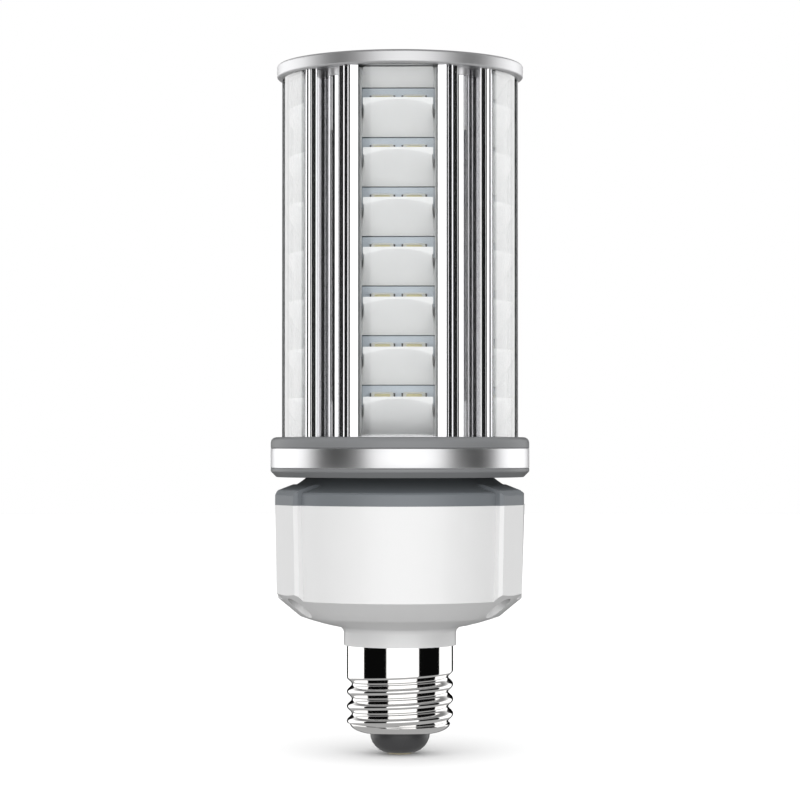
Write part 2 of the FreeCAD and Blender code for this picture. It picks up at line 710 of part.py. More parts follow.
def driver_housing():
    """Returns the white housing: dome, lobes, cavity, collar and base spigot."""
    outside = spun_edges(dome_edges(HOUSING_FOOT_RADIUS, HOUSING_FOOT, HOUSING_TOP_RADIUS))
    reach = LOBE_PLANE + LOBE_MARGIN
    envelope = spun_edges(dome_edges(reach, dome_height(reach), reach))
    low = lobe_outline(LOBE_PLANE - LOBE_DRAFT)
    high = lobe_outline(LOBE_PLANE)
    high.translate(Vector(0, 0, HOUSING_TOP))
    lobe = Part.makeLoft([low, high], True, True).common(envelope)
    body = outside.multiFuse(around(lobe, LOBE_ANGLES))
    wall_top = HOUSING_TOP_RADIUS - HOUSING_WALL
    wall_foot = HOUSING_FOOT_RADIUS - HOUSING_WALL
    cavity = spun([(0, HOUSING_FLOOR), (DOME_EDGE_RADIUS - CAVITY_FLOOR_INSET, HOUSING_FLOOR),
                   (wall_foot, HOUSING_FOOT + CAVITY_FOOT_RISE), (wall_top, HOUSING_TOP),
                   (0, HOUSING_TOP)])
    boss = rod(LOBE_BOSS_RADIUS, HOUSING_FLOOR - HOUSING_WALL, HOUSING_TOP, HOLE_PLACE)
    boss = boss.common(envelope)
    cavity = cavity.cut(around(boss, LOBE_ANGLES))
    spigot = rod(SHELL_BORE_RADIUS - SIDE_CLEARANCE, -BASE_SPIGOT_LENGTH, 0)
    bore = rod(LEAD_BORE_RADIUS, -BASE_SPIGOT_LENGTH, HOUSING_FLOOR)
    counterbore = rod(COUNTERBORE_RADIUS, 0, COUNTERBORE_END, HOLE_PLACE)
    hole = rod(SCREW_RADIUS + 2 * SCREW_CLEARANCE, 0, HOUSING_TOP, HOLE_PLACE)
    body = body.fuse(spigot)
    return body.cut([cavity, bore] + around(counterbore, LOBE_ANGLES)
                    + around(hole, LOBE_ANGLES)).removeSplitter()


def housing_screws():
    """Returns the three screws deep in the housing's counterbores."""
    one = placed(screw(HOUSING_SCREW_LENGTH, True), HOLE_PLACE, COUNTERBORE_END)
    return Part.makeCompound(around(one, LOBE_ANGLES))


# Screw base


def groove_cutter():
    """Returns the helical cutter of the rounded thread's root."""
    height = GROOVE_BOTTOM - GROOVE_TOP
    mean = CREST_RADIUS - THREAD_DEPTH / 2
    helix = Part.makeHelix(THREAD_PITCH, height, mean)
    half_width = GROOVE_SHARE * THREAD_PITCH / 2
    points = []
    for share in GROOVE_STEPS:
        wave = (1 + math.cos(math.pi * share)) / 2
        depth = (THREAD_DEPTH + GROOVE_LIFT) * wave
        points.append(Vector(CREST_RADIUS + GROOVE_LIFT - depth, 0, share * half_width))
    outside = CREST_RADIUS + GROOVE_MARGIN
    points += [Vector(outside, 0, half_width), Vector(outside, 0, -half_width)]
    profile = Part.makePolygon(points + [points[0]])
    cutter = Part.Wire(helix.Edges).makePipeShell([profile], True, True)
    climb = (GROOVE_BOTTOM - FRONT_GROOVE) / THREAD_PITCH * 360
    cutter.rotate(Vector(0, 0, 0), Vector(0, 0, 1), -90 - climb)
    cutter.translate(Vector(0, 0, -GROOVE_BOTTOM))
    return Part.Solid(cutter) if cutter.ShapeType != "Solid" else cutter


def base_shell():
    """Returns the plated shell: a smooth part, then the slightly narrower thread."""
    end_wall = SHELL_LENGTH - SHELL_END_WALL
    root = CREST_RADIUS - THREAD_DEPTH
    turn_start = Vector(root + SHELL_FOOT_STEP, 0, -GROOVE_BOTTOM + SHELL_FOOT_STEP)
    turn_middle = Vector(root - SHELL_TURN_INSET, 0, -SHELL_LENGTH + SHELL_TURN_RISE)
    mouth = Vector(SHELL_MOUTH_RADIUS, 0, -SHELL_LENGTH)
    points = [mouth, Vector(SHELL_MOUTH_RADIUS, 0, -end_wall),
              Vector(SHELL_BORE_RADIUS - SHELL_BORE_CHAMFER, 0, -end_wall),
              Vector(SHELL_BORE_RADIUS, 0, -end_wall + SHELL_BORE_CHAMFER),
              Vector(SHELL_BORE_RADIUS, 0, 0), Vector(SHELL_RADIUS, 0, 0),
              Vector(SHELL_RADIUS, 0, -SMOOTH_LENGTH),
              Vector(CREST_RADIUS, 0, -SMOOTH_LENGTH - CREST_STEP),
              Vector(CREST_RADIUS, 0, -GROOVE_BOTTOM + SHELL_FOOT_RISE), turn_start]
    edges = [line(start, end) for start, end in zip(points, points[1:])]
    edges += bent(turn_start, turn_middle, mouth, 4)
    return spun_edges(edges).cut(groove_cutter()).removeSplitter()


def base_insulator():
    """Returns the black bowl below the shell and its plug inside it."""
    mouth = SHELL_MOUTH_RADIUS
    bottom = SHELL_LENGTH + INSULATOR_DEPTH
    end_wall = SHELL_LENGTH - SHELL_END_WALL
    bowl_middle = Vector((mouth + INSULATOR_FLAT_RADIUS) / 2 + INSULATOR_BULGE, 0,
                         -SHELL_LENGTH - INSULATOR_DROP)
    plug_top = -end_wall + INSULATOR_PLUG_LENGTH
    plug_radius = SHELL_BORE_RADIUS - SHELL_BORE_CHAMFER - SIDE_CLEARANCE
    stem = CONTACT_STEM_RADIUS + SCREW_CLEARANCE
    points = [Vector(INSULATOR_FLAT_RADIUS, 0, -bottom), Vector(stem, 0, -bottom),
              Vector(stem, 0, plug_top), Vector(plug_radius, 0, plug_top),
              Vector(plug_radius, 0, -end_wall), Vector(mouth - SIDE_CLEARANCE, 0, -end_wall),
              Vector(mouth - SIDE_CLEARANCE, 0, -SHELL_LENGTH), Vector(mouth, 0, -SHELL_LENGTH)]
    edges = [line(start, end) for start, end in zip(points, points[1:])]
    edges += bent(points[-1], bowl_middle, points[0], 5)
    return spun_edges(edges)


def centre_contact():
    """Returns the contact disc with its rivet stem through the insulator."""
    seat = -SHELL_LENGTH - INSULATOR_DEPTH
    end_wall = SHELL_LENGTH - SHELL_END_WALL
    face = seat - CONTACT_THICKNESS
    disc = spun([(0, face), (CONTACT_RADIUS - CONTACT_TAPER, face), (CONTACT_RADIUS, seat),
                 (0, seat)])
    stem = rod(CONTACT_STEM_RADIUS, seat, -end_wall + INSULATOR_PLUG_LENGTH + CONTACT_STEM_RISE)
    return disc.fuse(stem).removeSplitter()


# Driver


def driver_place():
    """Returns the driver board's bottom and top heights."""
    bottom = HOUSING_FLOOR + SEAT_GAP
    return bottom, bottom + DRIVER_LENGTH


def driver_board():
    """Returns the upright board that stands on the housing's floor."""
    bottom, top = driver_place()
    board = Part.makeBox(2 * DRIVER_HALF_WIDTH, DRIVER_THICKNESS, top - bottom)
    board.translate(Vector(-DRIVER_HALF_WIDTH, DRIVER_PLANE, bottom))
    for side in (-1, 1):
        corner = [Vector(side * DRIVER_HALF_WIDTH, DRIVER_PLANE, bottom),
                  Vector(side * (DRIVER_HALF_WIDTH - DRIVER_NOTCH), DRIVER_PLANE, bottom),
                  Vector(side * DRIVER_HALF_WIDTH, DRIVER_PLANE, bottom + DRIVER_NOTCH)]
        board = board.cut(polygon(corner).extrude(Vector(0, DRIVER_THICKNESS, 0)))
    return board


def behind_board(depth):
    """Returns a Y value a distance behind the driver board."""
    return DRIVER_PLANE + DRIVER_THICKNESS + depth


def transformer():
    """Returns the transformer: a wound bobbin inside its core."""
    bottom, top = driver_place()
    middle = (bottom + top) / 2
    core = Part.makeBox(CORE_WIDTH, CORE_DEPTH, CORE_HEIGHT)
    core.translate(Vector(-CORE_WIDTH / 2, behind_board(0), middle - CORE_HEIGHT / 2))
    edges = [edge for edge in core.Edges if edge.BoundBox.ZLength > CORE_HEIGHT - 0.001]
    core = core.makeChamfer(CORE_CHAMFER, edges)
    start = Vector(-CORE_WIDTH / 2 - WINDING_REACH, behind_board(CORE_DEPTH / 2), middle)
    winding = Part.makeCylinder(WINDING_RADIUS, CORE_WIDTH + 2 * WINDING_REACH, start,
                                Vector(1, 0, 0))
    return core.fuse(winding).removeSplitter()


def capacitors():
    """Returns the two round capacitors beside the transformer."""
    bottom, top = driver_place()
    cans = []
    for side in (-1, 1):
        foot = Vector(side * CAN_SPACING / 2, behind_board(CAN_RADIUS), bottom + CAN_RISE)
        can = Part.makeCylinder(CAN_RADIUS, CAN_LENGTH, foot)
        rims = [edge for edge in can.Edges if edge.BoundBox.ZLength < 0.001]
        cans.append(can.makeChamfer(CAN_CHAMFER, rims))
    return Part.makeCompound(cans)


def driver_chips():
    """Returns the flat parts on the front of the driver board."""
    bottom, top = driver_place()
    chips = []
    for across, height, width in CHIPS:
        chip = Part.makeBox(width, CHIP_DEPTH, CHIP_HEIGHT)
        chip.translate(Vector(across - width / 2, DRIVER_PLANE - CHIP_DEPTH, bottom + height))
        chips.append(chip)
    return Part.makeCompound(chips)


def output_leads():
    """Returns the pair of leads from the driver board up the heat sink's bore."""
    bottom, top = driver_place()
    leads = []
    for side in (-1, 1):
        place = Vector(side * LEAD_SPACING / 2, DRIVER_PLANE - LEAD_RADIUS, top - LEAD_OVERLAP)
        leads.append(Part.makeCylinder(LEAD_RADIUS, OUTPUT_LEAD_LENGTH, place))
    return Part.makeCompound(leads)


def input_lead():
    """Returns the lead from the contact's stem up to the driver board."""
    bottom, top = driver_place()
    start = -(SHELL_LENGTH - SHELL_END_WALL) + INSULATOR_PLUG_LENGTH + CONTACT_STEM_RISE
    return rod(LEAD_RADIUS, start, bottom + INPUT_OVERLAP)


os.makedirs("parts", exist_ok=True)
save(heat_sink(), "heat_sink")
channel_parts = (("led_board", led_board()), ("led_packages", led_packages()),
                 ("reflector", reflector()), ("cover", cover()))
for name, shape in channel_parts:
    for index in range(SIDES):
        save(turned(shape, index * PITCH_ANGLE), name + "_" + str(index + 1))
save(top_cap(), "top_cap")
save(cap_screws(), "cap_screws")
save(base_ring(), "base_ring")
save(ring_screws(), "ring_screws")
save(trim_band(), "trim_band")
save(neck(), "neck")
save(neck_screws(), "neck_screws")
save(driver_housing(), "driver_housing")
save(housing_screws(), "housing_screws")
save(base_shell(), "base_shell")
save(base_insulator(), "base_insulator")
save(centre_contact(), "centre_contact")
save(driver_board(), "driver_board")
save(transformer(), "transformer")
save(capacitors(), "capacitors")
save(driver_chips(), "driver_chips")
save(output_leads(), "output_leads")
save(input_lead(), "input_lead")
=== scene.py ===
import logging
import math
from dataclasses import dataclass, field
from enum import Enum

import bmesh
import bpy
import numpy as np
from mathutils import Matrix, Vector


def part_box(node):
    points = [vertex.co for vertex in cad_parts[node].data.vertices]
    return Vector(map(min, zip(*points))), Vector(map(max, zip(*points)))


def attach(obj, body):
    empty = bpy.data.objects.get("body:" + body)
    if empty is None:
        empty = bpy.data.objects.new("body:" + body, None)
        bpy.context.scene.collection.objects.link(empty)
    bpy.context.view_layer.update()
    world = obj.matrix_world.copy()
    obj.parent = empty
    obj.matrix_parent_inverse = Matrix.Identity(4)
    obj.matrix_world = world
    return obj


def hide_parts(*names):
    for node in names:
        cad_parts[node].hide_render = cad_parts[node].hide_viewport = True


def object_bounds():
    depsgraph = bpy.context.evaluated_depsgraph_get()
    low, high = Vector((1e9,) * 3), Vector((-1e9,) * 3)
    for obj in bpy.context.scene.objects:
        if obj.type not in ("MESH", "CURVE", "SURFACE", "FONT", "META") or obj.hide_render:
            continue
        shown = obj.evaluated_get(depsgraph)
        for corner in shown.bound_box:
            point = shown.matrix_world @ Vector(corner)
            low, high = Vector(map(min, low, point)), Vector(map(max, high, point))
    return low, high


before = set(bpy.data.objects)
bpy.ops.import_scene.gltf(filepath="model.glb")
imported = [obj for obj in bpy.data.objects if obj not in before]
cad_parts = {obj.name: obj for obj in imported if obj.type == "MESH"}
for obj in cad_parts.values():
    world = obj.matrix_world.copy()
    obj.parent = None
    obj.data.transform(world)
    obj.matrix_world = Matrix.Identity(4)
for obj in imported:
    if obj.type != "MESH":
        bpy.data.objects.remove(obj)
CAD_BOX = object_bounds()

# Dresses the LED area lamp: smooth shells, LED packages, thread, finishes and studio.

log = logging.getLogger("lamp")

MM = 0.001
SIDES = 5
SIDE_ANGLE = 2 * math.pi / SIDES
BODY = "root"
MERGE_DISTANCE = 2e-6
FLAT_ANGLE = math.radians(0.4)


class Lay(Enum):
    """The way the fine lines of a finish run over a piece."""

    ALONG = "lines along the lamp's axis"
    ROUND = "lines round the lamp's axis"
    EVEN = "an even, fine grain"


class Graph:
    """A node tree, written down in short calls."""

    def __init__(self, owner: bpy.types.Material | bpy.types.World, output: str) -> None:
        """Starts an empty tree with its output.

        Args:
            owner: the material or world that the tree belongs to.
            output: the output node's type name.
        """
        owner.use_nodes = True
        self.tree = owner.node_tree
        self.tree.nodes.clear()
        self.output = self.add(output)

    def add(self, kind: str, **settings: object) -> bpy.types.Node:
        """Adds a node.

        Args:
            kind: the node's type name.
            settings: attributes of the node to set.

        Returns:
            The new node.
        """
        node = self.tree.nodes.new(kind)
        for name, value in settings.items():
            setattr(node, name, value)
        return node

    def wire(self, start: bpy.types.NodeSocket, end: bpy.types.NodeSocket) -> None:
        """Links one socket to another."""
        self.tree.links.new(start, end)

    def math(self, operation: str, first: object, second: object = None,
             clamp: bool = False) -> bpy.types.NodeSocket:
        """Adds a Math node.

        Args:
            operation: the node's operation.
            first: a socket or a number.
            second: a socket, a number or nothing.
            clamp: whether the result stays between 0 and 1.

        Returns:
            The result's socket.
        """
        node = self.add("ShaderNodeMath", operation=operation, use_clamp=clamp)
        for socket, value in zip(node.inputs, (first, second)):
            if isinstance(value, bpy.types.NodeSocket):
                self.wire(value, socket)
            elif value is not None:
                socket.default_value = value
        return node.outputs[0]

    def ramp(self, value: bpy.types.NodeSocket, start: float, end: float, low: object = 0.0,
             high: object = 1.0) -> bpy.types.NodeSocket:
        """Passes smoothly from one value to another while an input runs over a range.

        Args:
            value: the input.
            start: where the result is still low.
            end: where the result has become high.
            low: the first value, a socket or a number.
            high: the last value, a socket or a number.

        Returns:
            The result's socket.
        """
        node = self.add("ShaderNodeMapRange", interpolation_type="SMOOTHSTEP")
        inputs = {"Value": value, "From Min": start, "From Max": end, "To Min": low, "To Max": high}
        for name, number in inputs.items():
            if isinstance(number, bpy.types.NodeSocket):
                self.wire(number, node.inputs[name])
            else:
                node.inputs[name].default_value = number
        return node.outputs["Result"]


class Draft(Graph):
    """A material's node tree, with the textures that the finishes use."""

    def __init__(self, name: str) -> None:
        """Starts an empty material.

        Args:
            name: the material's name.
        """
        self.material = bpy.data.materials.new(name)
        super().__init__(self.material, "ShaderNodeOutputMaterial")

    def position(self) -> bpy.types.NodeSocket:
        """Returns the point's place on the object, in metres."""
        return self.add("ShaderNodeTexCoord").outputs["Object"]

    def noise(self, place: bpy.types.NodeSocket, scale: float, detail: float) -> bpy.types.NodeSocket:
        """Adds a noise texture and returns its grey value.

        Args:
            place: the coordinate it reads.
            scale: features to a metre.
            detail: octaves.

        Returns:
            The noise's value, round 0.5.
        """
        node = self.add("ShaderNodeTexNoise")
        self.wire(place, node.inputs["Vector"])
        node.inputs["Scale"].default_value = scale
        node.inputs["Detail"].default_value = detail
        return node.outputs["Fac"]

    def spread(self, value: bpy.types.NodeSocket, low: float, high: float) -> bpy.types.NodeSocket:
        """Maps a noise value onto a range.

        Args:
            value: the noise's value.
            low: the result where the noise is 0.3.
            high: the result where the noise is 0.7.

        Returns:
            The mapped value.
        """
        node = self.add("ShaderNodeMapRange")
        self.wire(value, node.inputs["Value"])
        for name, number in (("From Min", 0.3), ("From Max", 0.7), ("To Min", low), ("To Max", high)):
            node.inputs[name].default_value = number
        return node.outputs["Result"]


@dataclass(frozen=True)
class Finish:
    """One surface finish: its colour and gloss, and the fine marks in it."""

    slot: str
    colour: tuple[float, float, float]
    roughness: float
    metallic: float = 0.0
    lay: Lay = Lay.EVEN
    grain: float = 0.15
    stretch: float = 1.0
    depth: float = 0.002
    tone_change: float = 0.03
    gloss_change: float = 0.04
    coat: float = 0.0
    milky: float = 0.0
    patch: float = 6.0
    index: float = 1.5

    def place(self, draft: Draft) -> bpy.types.NodeSocket:
        """Returns the coordinate that gives the finish's lines their run.

        Lines along the axis squeeze the height; lines round the axis read the radius
        and the height, and hardly the angle.
        """
        position = draft.position()
        if self.lay is Lay.ROUND:
            split = draft.add("ShaderNodeSeparateXYZ")
            draft.wire(position, split.inputs[0])
            square = draft.math("ADD", draft.math("MULTIPLY", split.outputs[0], split.outputs[0]),
                                draft.math("MULTIPLY", split.outputs[1], split.outputs[1]))
            join = draft.add("ShaderNodeCombineXYZ")
            draft.wire(draft.math("SQRT", square), join.inputs[0])
            draft.wire(split.outputs[2], join.inputs[1])
            angle = draft.math("ARCTAN2", split.outputs[1], split.outputs[0])
            draft.wire(draft.math("MULTIPLY", angle, 30 * MM / self.stretch), join.inputs[2])
            return join.outputs[0]
        mapping = draft.add("ShaderNodeMapping")
        squeeze = 1 / self.stretch if self.lay is Lay.ALONG else 1.0
        mapping.inputs["Scale"].default_value = (1.0, 1.0, squeeze)
        draft.wire(position, mapping.inputs["Vector"])
        return mapping.outputs[0]

    def material(self) -> bpy.types.Material:
        """Builds the finish's material.

        Returns:
            A material whose colour, gloss and bump carry the finish's marks.
        """
        draft = Draft(self.slot)
        shader = draft.add("ShaderNodeBsdfPrincipled")
        place = self.place(draft)
        fine = draft.noise(place, 1 / (self.grain * MM), 3.0)
        broad = draft.noise(draft.position(), 1 / (self.patch * MM), 2.0)
        mixed = draft.math("ADD", draft.math("MULTIPLY", fine, 0.6), draft.math("MULTIPLY", broad, 0.4))
        low, high = 1 - self.tone_change, 1 + self.tone_change
        shade = draft.spread(mixed, low, high)
        tint = draft.add("ShaderNodeMix", data_type="RGBA", blend_type="MULTIPLY")
        tint.inputs["Factor"].default_value = 1.0
        tint.inputs["A"].default_value = (*self.colour, 1.0)
        grey = draft.add("ShaderNodeCombineColor")
        for socket in grey.inputs:
            draft.wire(shade, socket)
        draft.wire(grey.outputs[0], tint.inputs["B"])
        draft.wire(tint.outputs["Result"], shader.inputs["Base Color"])
        rough = draft.spread(mixed, self.roughness - self.gloss_change / 2,
                             self.roughness + self.gloss_change / 2)
        draft.wire(rough, shader.inputs["Roughness"])
        bump = draft.add("ShaderNodeBump")
        bump.inputs["Strength"].default_value = 1.0
        bump.inputs["Distance"].default_value = self.depth * MM
        draft.wire(fine, bump.inputs["Height"])
        draft.wire(bump.outputs[0], shader.inputs["Normal"])
        shader.inputs["Metallic"].default_value = self.metallic
        shader.inputs["Coat Weight"].default_value = self.coat
        shader.inputs["Coat Roughness"].default_value = 0.12
        shader.inputs["IOR"].default_value = self.index
        shader.inputs["Subsurface Weight"].default_value = self.milky
        shader.inputs["Subsurface Radius"].default_value = (2 * MM, 2 * MM, 2 * MM)
        draft.wire(shader.outputs[0], draft.output.inputs["Surface"])
        return draft.material


@dataclass(frozen=True)
class ClearFinish:
    """Clear plastic: see-through face on, and a mirror at a glancing angle."""

    slot: str
    tint: tuple[float, float, float] = (0.992, 0.996, 0.996)
    roughness: float = 0.04
    least_mirror: float = 0.02
    steepness: float = 1.3
    grain: float = 3.0

    def material(self) -> bpy.types.Material:
        """Builds the material.

        The mirror share is the least share, plus the rest times a power of how far the
        surface turns away.

        Returns:
            A mix of a transparent and a glossy shader.
        """
        draft = Draft(self.slot)
        facing = draft.add("ShaderNodeLayerWeight").outputs["Facing"]
        away = draft.math("POWER", facing, self.steepness)
        share = draft.math("ADD", draft.math("MULTIPLY", away, 1 - self.least_mirror),
                           self.least_mirror, clamp=True)
        clear = draft.add("ShaderNodeBsdfTransparent")
        ripple = draft.noise(draft.position(), 1 / (self.grain * MM), 2.0)
        tint = draft.add("ShaderNodeMix", data_type="RGBA")
        tint.inputs["A"].default_value = (*self.tint, 1.0)
        tint.inputs["B"].default_value = tuple(value * 0.985 for value in self.tint) + (1.0,)
        draft.wire(ripple, tint.inputs["Factor"])
        draft.wire(tint.outputs["Result"], clear.inputs["Color"])
        gloss = draft.add("ShaderNodeBsdfGlossy")
        gloss.inputs["Roughness"].default_value = self.roughness
        mix = draft.add("ShaderNodeMixShader")
        draft.wire(share, mix.inputs[0])
        draft.wire(clear.outputs[0], mix.inputs[1])
        draft.wire(gloss.outputs[0], mix.inputs[2])
        draft.wire(mix.outputs[0], draft.output.inputs["Surface"])
        return draft.material


FINISHES = {
    finish.slot: finish
    for finish in (
        Finish("polished_aluminium", (0.88, 0.88, 0.89), 0.13, 0.96, Lay.ALONG, 0.25, 5000.0, 0.0001,
               0.02, 0.04),
        Finish("satin_aluminium", (0.90, 0.90, 0.91), 0.48, 1.0, Lay.ROUND, 0.12, 400.0, 0.0003,
               0.03, 0.06),
        Finish("brushed_band", (0.88, 0.88, 0.89), 0.36, 1.0, Lay.ROUND, 0.12, 400.0, 0.0003,
               0.02, 0.06),
        Finish("board_white", (0.55, 0.61, 0.67), 0.40, grain=0.3, coat=0.2, tone_change=0.05),
        Finish("led_package", (0.60, 0.60, 0.56), 0.35, grain=0.2),
        Finish("reflector_white", (0.92, 0.92, 0.92), 0.32, grain=0.35, depth=0.001, milky=0.05,
               tone_change=0.015),
        Finish("screw_steel", (0.62, 0.62, 0.63), 0.25, 1.0, Lay.ROUND, 0.15, 6.0, 0.001),
        Finish("ring_grey", (0.175, 0.18, 0.185), 0.42, grain=0.12, depth=0.004),
        Finish("neck_grey", (0.15, 0.163, 0.176), 0.42, grain=0.12, depth=0.004),
        Finish("housing_white", (0.70, 0.70, 0.70), 0.40, grain=0.2, depth=0.0008, milky=0.05,
               tone_change=0.012, coat=0.2),
        Finish("base_plating", (0.90, 0.89, 0.88), 0.06, 1.0, Lay.EVEN, 0.5, 1.0, 0.0003, 0.02, 0.03),
        Finish("insulator_black", (0.05, 0.05, 0.052), 0.34, grain=0.3, depth=0.002, tone_change=0.1),
        Finish("contact_metal", (0.60, 0.54, 0.38), 0.35, 1.0, Lay.ROUND, 0.2, 5.0, 0.001),
        Finish("driver_green", (0.05, 0.25, 0.12), 0.4, grain=0.4, coat=0.3, tone_change=0.1),
        Finish("driver_parts", (0.05, 0.05, 0.06), 0.45, grain=0.3, tone_change=0.1),
        Finish("lead_insulation", (0.55, 0.05, 0.05), 0.5, grain=0.3, tone_change=0.08),
        ClearFinish("clear_cover"),
    )
}

# Painted shade: the cover's feet pass less light, standing in for the dark edge that the clear cover
# shows at a glancing angle.
COVER_FOOT_SHADE = ClearFinish("cover_foot", (0.78, 0.79, 0.79))
# Painted shade: the dark colour of the lines on the boards where the louvres' ledges and the tray's
# sides would cast shadow.
PAINTED_SHADOW_LINE = Finish("painted_shadow_line", (0.10, 0.12, 0.14), 0.5, grain=0.2, tone_change=0.1)
PHOSPHOR = Finish("phosphor", (0.62, 0.57, 0.32), 0.45, grain=0.08, depth=0.003, tone_change=0.06)
TERMINAL = Finish("terminal", (0.06, 0.06, 0.06), 0.45, grain=0.1, tone_change=0.1)
PAPER_FLOOR = Finish("paper_floor", (0.97, 0.97, 0.97), 0.8, grain=0.8, depth=0.01,
                     tone_change=0.006, patch=60.0)


class Workshop:
    """Makes mesh objects, gives them their finish and sets them on the lamp."""

    def __init__(self) -> None:
        """Builds every finish once."""
        self.materials = {slot: finish.material() for slot, finish in FINISHES.items()}
        for extra in (COVER_FOOT_SHADE, PAINTED_SHADOW_LINE, PHOSPHOR, TERMINAL, PAPER_FLOOR):
            self.materials[extra.slot] = extra.material()

    def surface(self, name: str, points: np.ndarray, faces: np.ndarray,
                tags: np.ndarray | None = None,
                caps: tuple[range, ...] = ()) -> bpy.types.Object:
        """Makes an object from arrays.

        Args:
            name: the object's name.
            points: one row for each vertex, in metres.
            faces: one row of four vertex numbers for each face.
            tags: the material number of each face, and then of each cap.
            caps: runs of vertex numbers that close the ends, each one flat face.

        Returns:
            The object, linked to the scene.
        """
        mesh = bpy.data.meshes.new(name)
        mesh.from_pydata(points.tolist(), [], faces.tolist() + [list(cap) for cap in caps])
        if tags is not None:
            mesh.polygons.foreach_set("material_index", tags.astype(np.int32))
        mesh.update()
        piece = bpy.data.objects.new(name, mesh)
        bpy.context.scene.collection.objects.link(piece)
        return piece

    def shade(self, mesh: bpy.types.Mesh, crease: float) -> None:
        """Shades a mesh smooth, apart from edges sharper than an angle in degrees."""
        mesh.shade_smooth()
        mesh.set_sharp_from_angle(angle=math.radians(crease))

    def smooth_copy(self, node: str, crease: float = 30.0, edge: float = 0.0) -> bpy.types.Object:
        """Copies a CAD node as one joined surface, with its flats whole.

        Args:
            node: the node's name.
            crease: the angle past which an edge stays sharp, in degrees.
            edge: the width of the small round on each sharp edge, in millimetres.

        Returns:
            The copy, which has the node's place in its mesh.
        """
        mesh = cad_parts[node].data.copy()
        mesh.name = node + "_shell"
        mesh.materials.clear()
        stored = mesh.attributes.get("custom_normal")
        if stored is not None:
            mesh.attributes.remove(stored)
        work = bmesh.new()
        work.from_mesh(mesh)
        bmesh.ops.remove_doubles(work, verts=work.verts, dist=MERGE_DISTANCE)
        bmesh.ops.dissolve_limit(work, angle_limit=FLAT_ANGLE, verts=work.verts, edges=work.edges)
        work.to_mesh(mesh)
        work.free()
        self.shade(mesh, crease)
        piece = bpy.data.objects.new(node + "_shell", mesh)
        bpy.context.scene.collection.objects.link(piece)
        self.finish_edges(piece, crease, edge)
        return piece

    def finish_edges(self, piece: bpy.types.Object, crease: float, edge: float) -> None:
        """Rounds a piece's sharp edges and keeps its flats flat in the shading.

        Args:
            piece: the piece.
            crease: the angle past which an edge is sharp, in degrees.
            edge: the width of the round, in millimetres; none leaves the edges sharp.
        """
        if edge > 0:
            bevel = piece.modifiers.new("edge", "BEVEL")
            bevel.width = edge * MM
            bevel.segments = 2
            bevel.limit_method = "ANGLE"
            bevel.angle_limit = math.radians(crease)
        flats = piece.modifiers.new("flats", "WEIGHTED_NORMAL")
        flats.mode = "FACE_AREA"
        flats.weight = 100
        flats.keep_sharp = True

    def fit(self, piece: bpy.types.Object, slot: str, *nodes: str) -> bpy.types.Object:
        """Sets a piece on the lamp in place of its nodes.

        Args:
            piece: the finished piece.
            slot: the record's slot, whose finish it takes.
            nodes: the CAD nodes that it stands for.

        Returns:
            The piece.
        """
        if not piece.data.materials:
            piece.data.materials.append(self.materials[slot])
        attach(piece, BODY)
        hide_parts(*nodes)
        log.info("%s stands for %s", piece.name, ", ".join(nodes))
        return piece

    def dress(self, node: str, slot: str) -> None:
        """Gives a CAD node that stays its finish."""
        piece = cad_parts[node]
        piece.data.materials.clear()
        piece.data.materials.append(self.materials[slot])
        log.info("%s keeps its solid", node)


def grid_faces(rows: int, columns: int, close_rows: bool, close_columns: bool) -> np.ndarray:
    """Returns the quads of a grid of points.

    Args:
        rows: the number of points along the first direction.
        columns: the number of points along the second direction.
        close_rows: whether the last row joins the first.
        close_columns: whether the last column joins the first.

    Returns:
        One row of four vertex numbers for each quad.
    """
    i = np.arange(rows if close_rows else rows - 1)[:, None]
    j = np.arange(columns if close_columns else columns - 1)[None, :]
    after_i = (i + 1) % rows
    after_j = (j + 1) % columns
    quads = np.stack([i * columns + j, after_i * columns + j,
                      after_i * columns + after_j, i * columns + after_j], axis=-1)
    return quads.reshape(-1, 4)


def block(low: tuple[float, float, float],
          high: tuple[float, float, float]) -> tuple[np.ndarray, np.ndarray]:
    """Returns the corners and quads of a straight bar between two corners."""
    steps = np.array([[x, y, z] for x in (0, 1) for y in (0, 1) for z in (0, 1)], float)
    quads = np.array([[0, 1, 3, 2], [4, 6, 7, 5], [0, 4, 5, 1], [2, 3, 7, 6], [0, 2, 6, 4],
                      [1, 5, 7, 3]])
    low, high = np.array(low, float), np.array(high, float)
    return low + steps * (high - low), quads


def turned_surface(radius: np.ndarray, height: np.ndarray, steps: int) -> tuple[np.ndarray, np.ndarray]:
    """Carries a closed outline round the axis.

    A point is (radius times the sine of the angle, minus radius times its cosine,
    height), with the angle from the front.

    Args:
        radius: the outline's distances from the axis, in metres.
        height: its heights, in metres.
        steps: the number of places round the axis.

    Returns:
        The points and the quads.
    """
    angle = np.linspace(0, 2 * np.pi, steps, endpoint=False)[:, None]
    points = np.stack([radius * np.sin(angle), -radius * np.cos(angle),
                       np.broadcast_to(height, (steps, len(height)))], axis=-1)
    return points.reshape(-1, 3), grid_faces(steps, len(height), True, True)


def outward(piece: bpy.types.Object) -> bpy.types.Object:
    """Turns a closed piece's faces outwards."""
    work = bmesh.new()
    work.from_mesh(piece.data)
    bmesh.ops.recalc_face_normals(work, faces=work.faces)
    work.to_mesh(piece.data)
    work.free()
    return piece


@dataclass
class Panel:
    """One stretch of the studio's wall, by azimuth from the front in degrees."""

    start: float
    end: float
    light: float


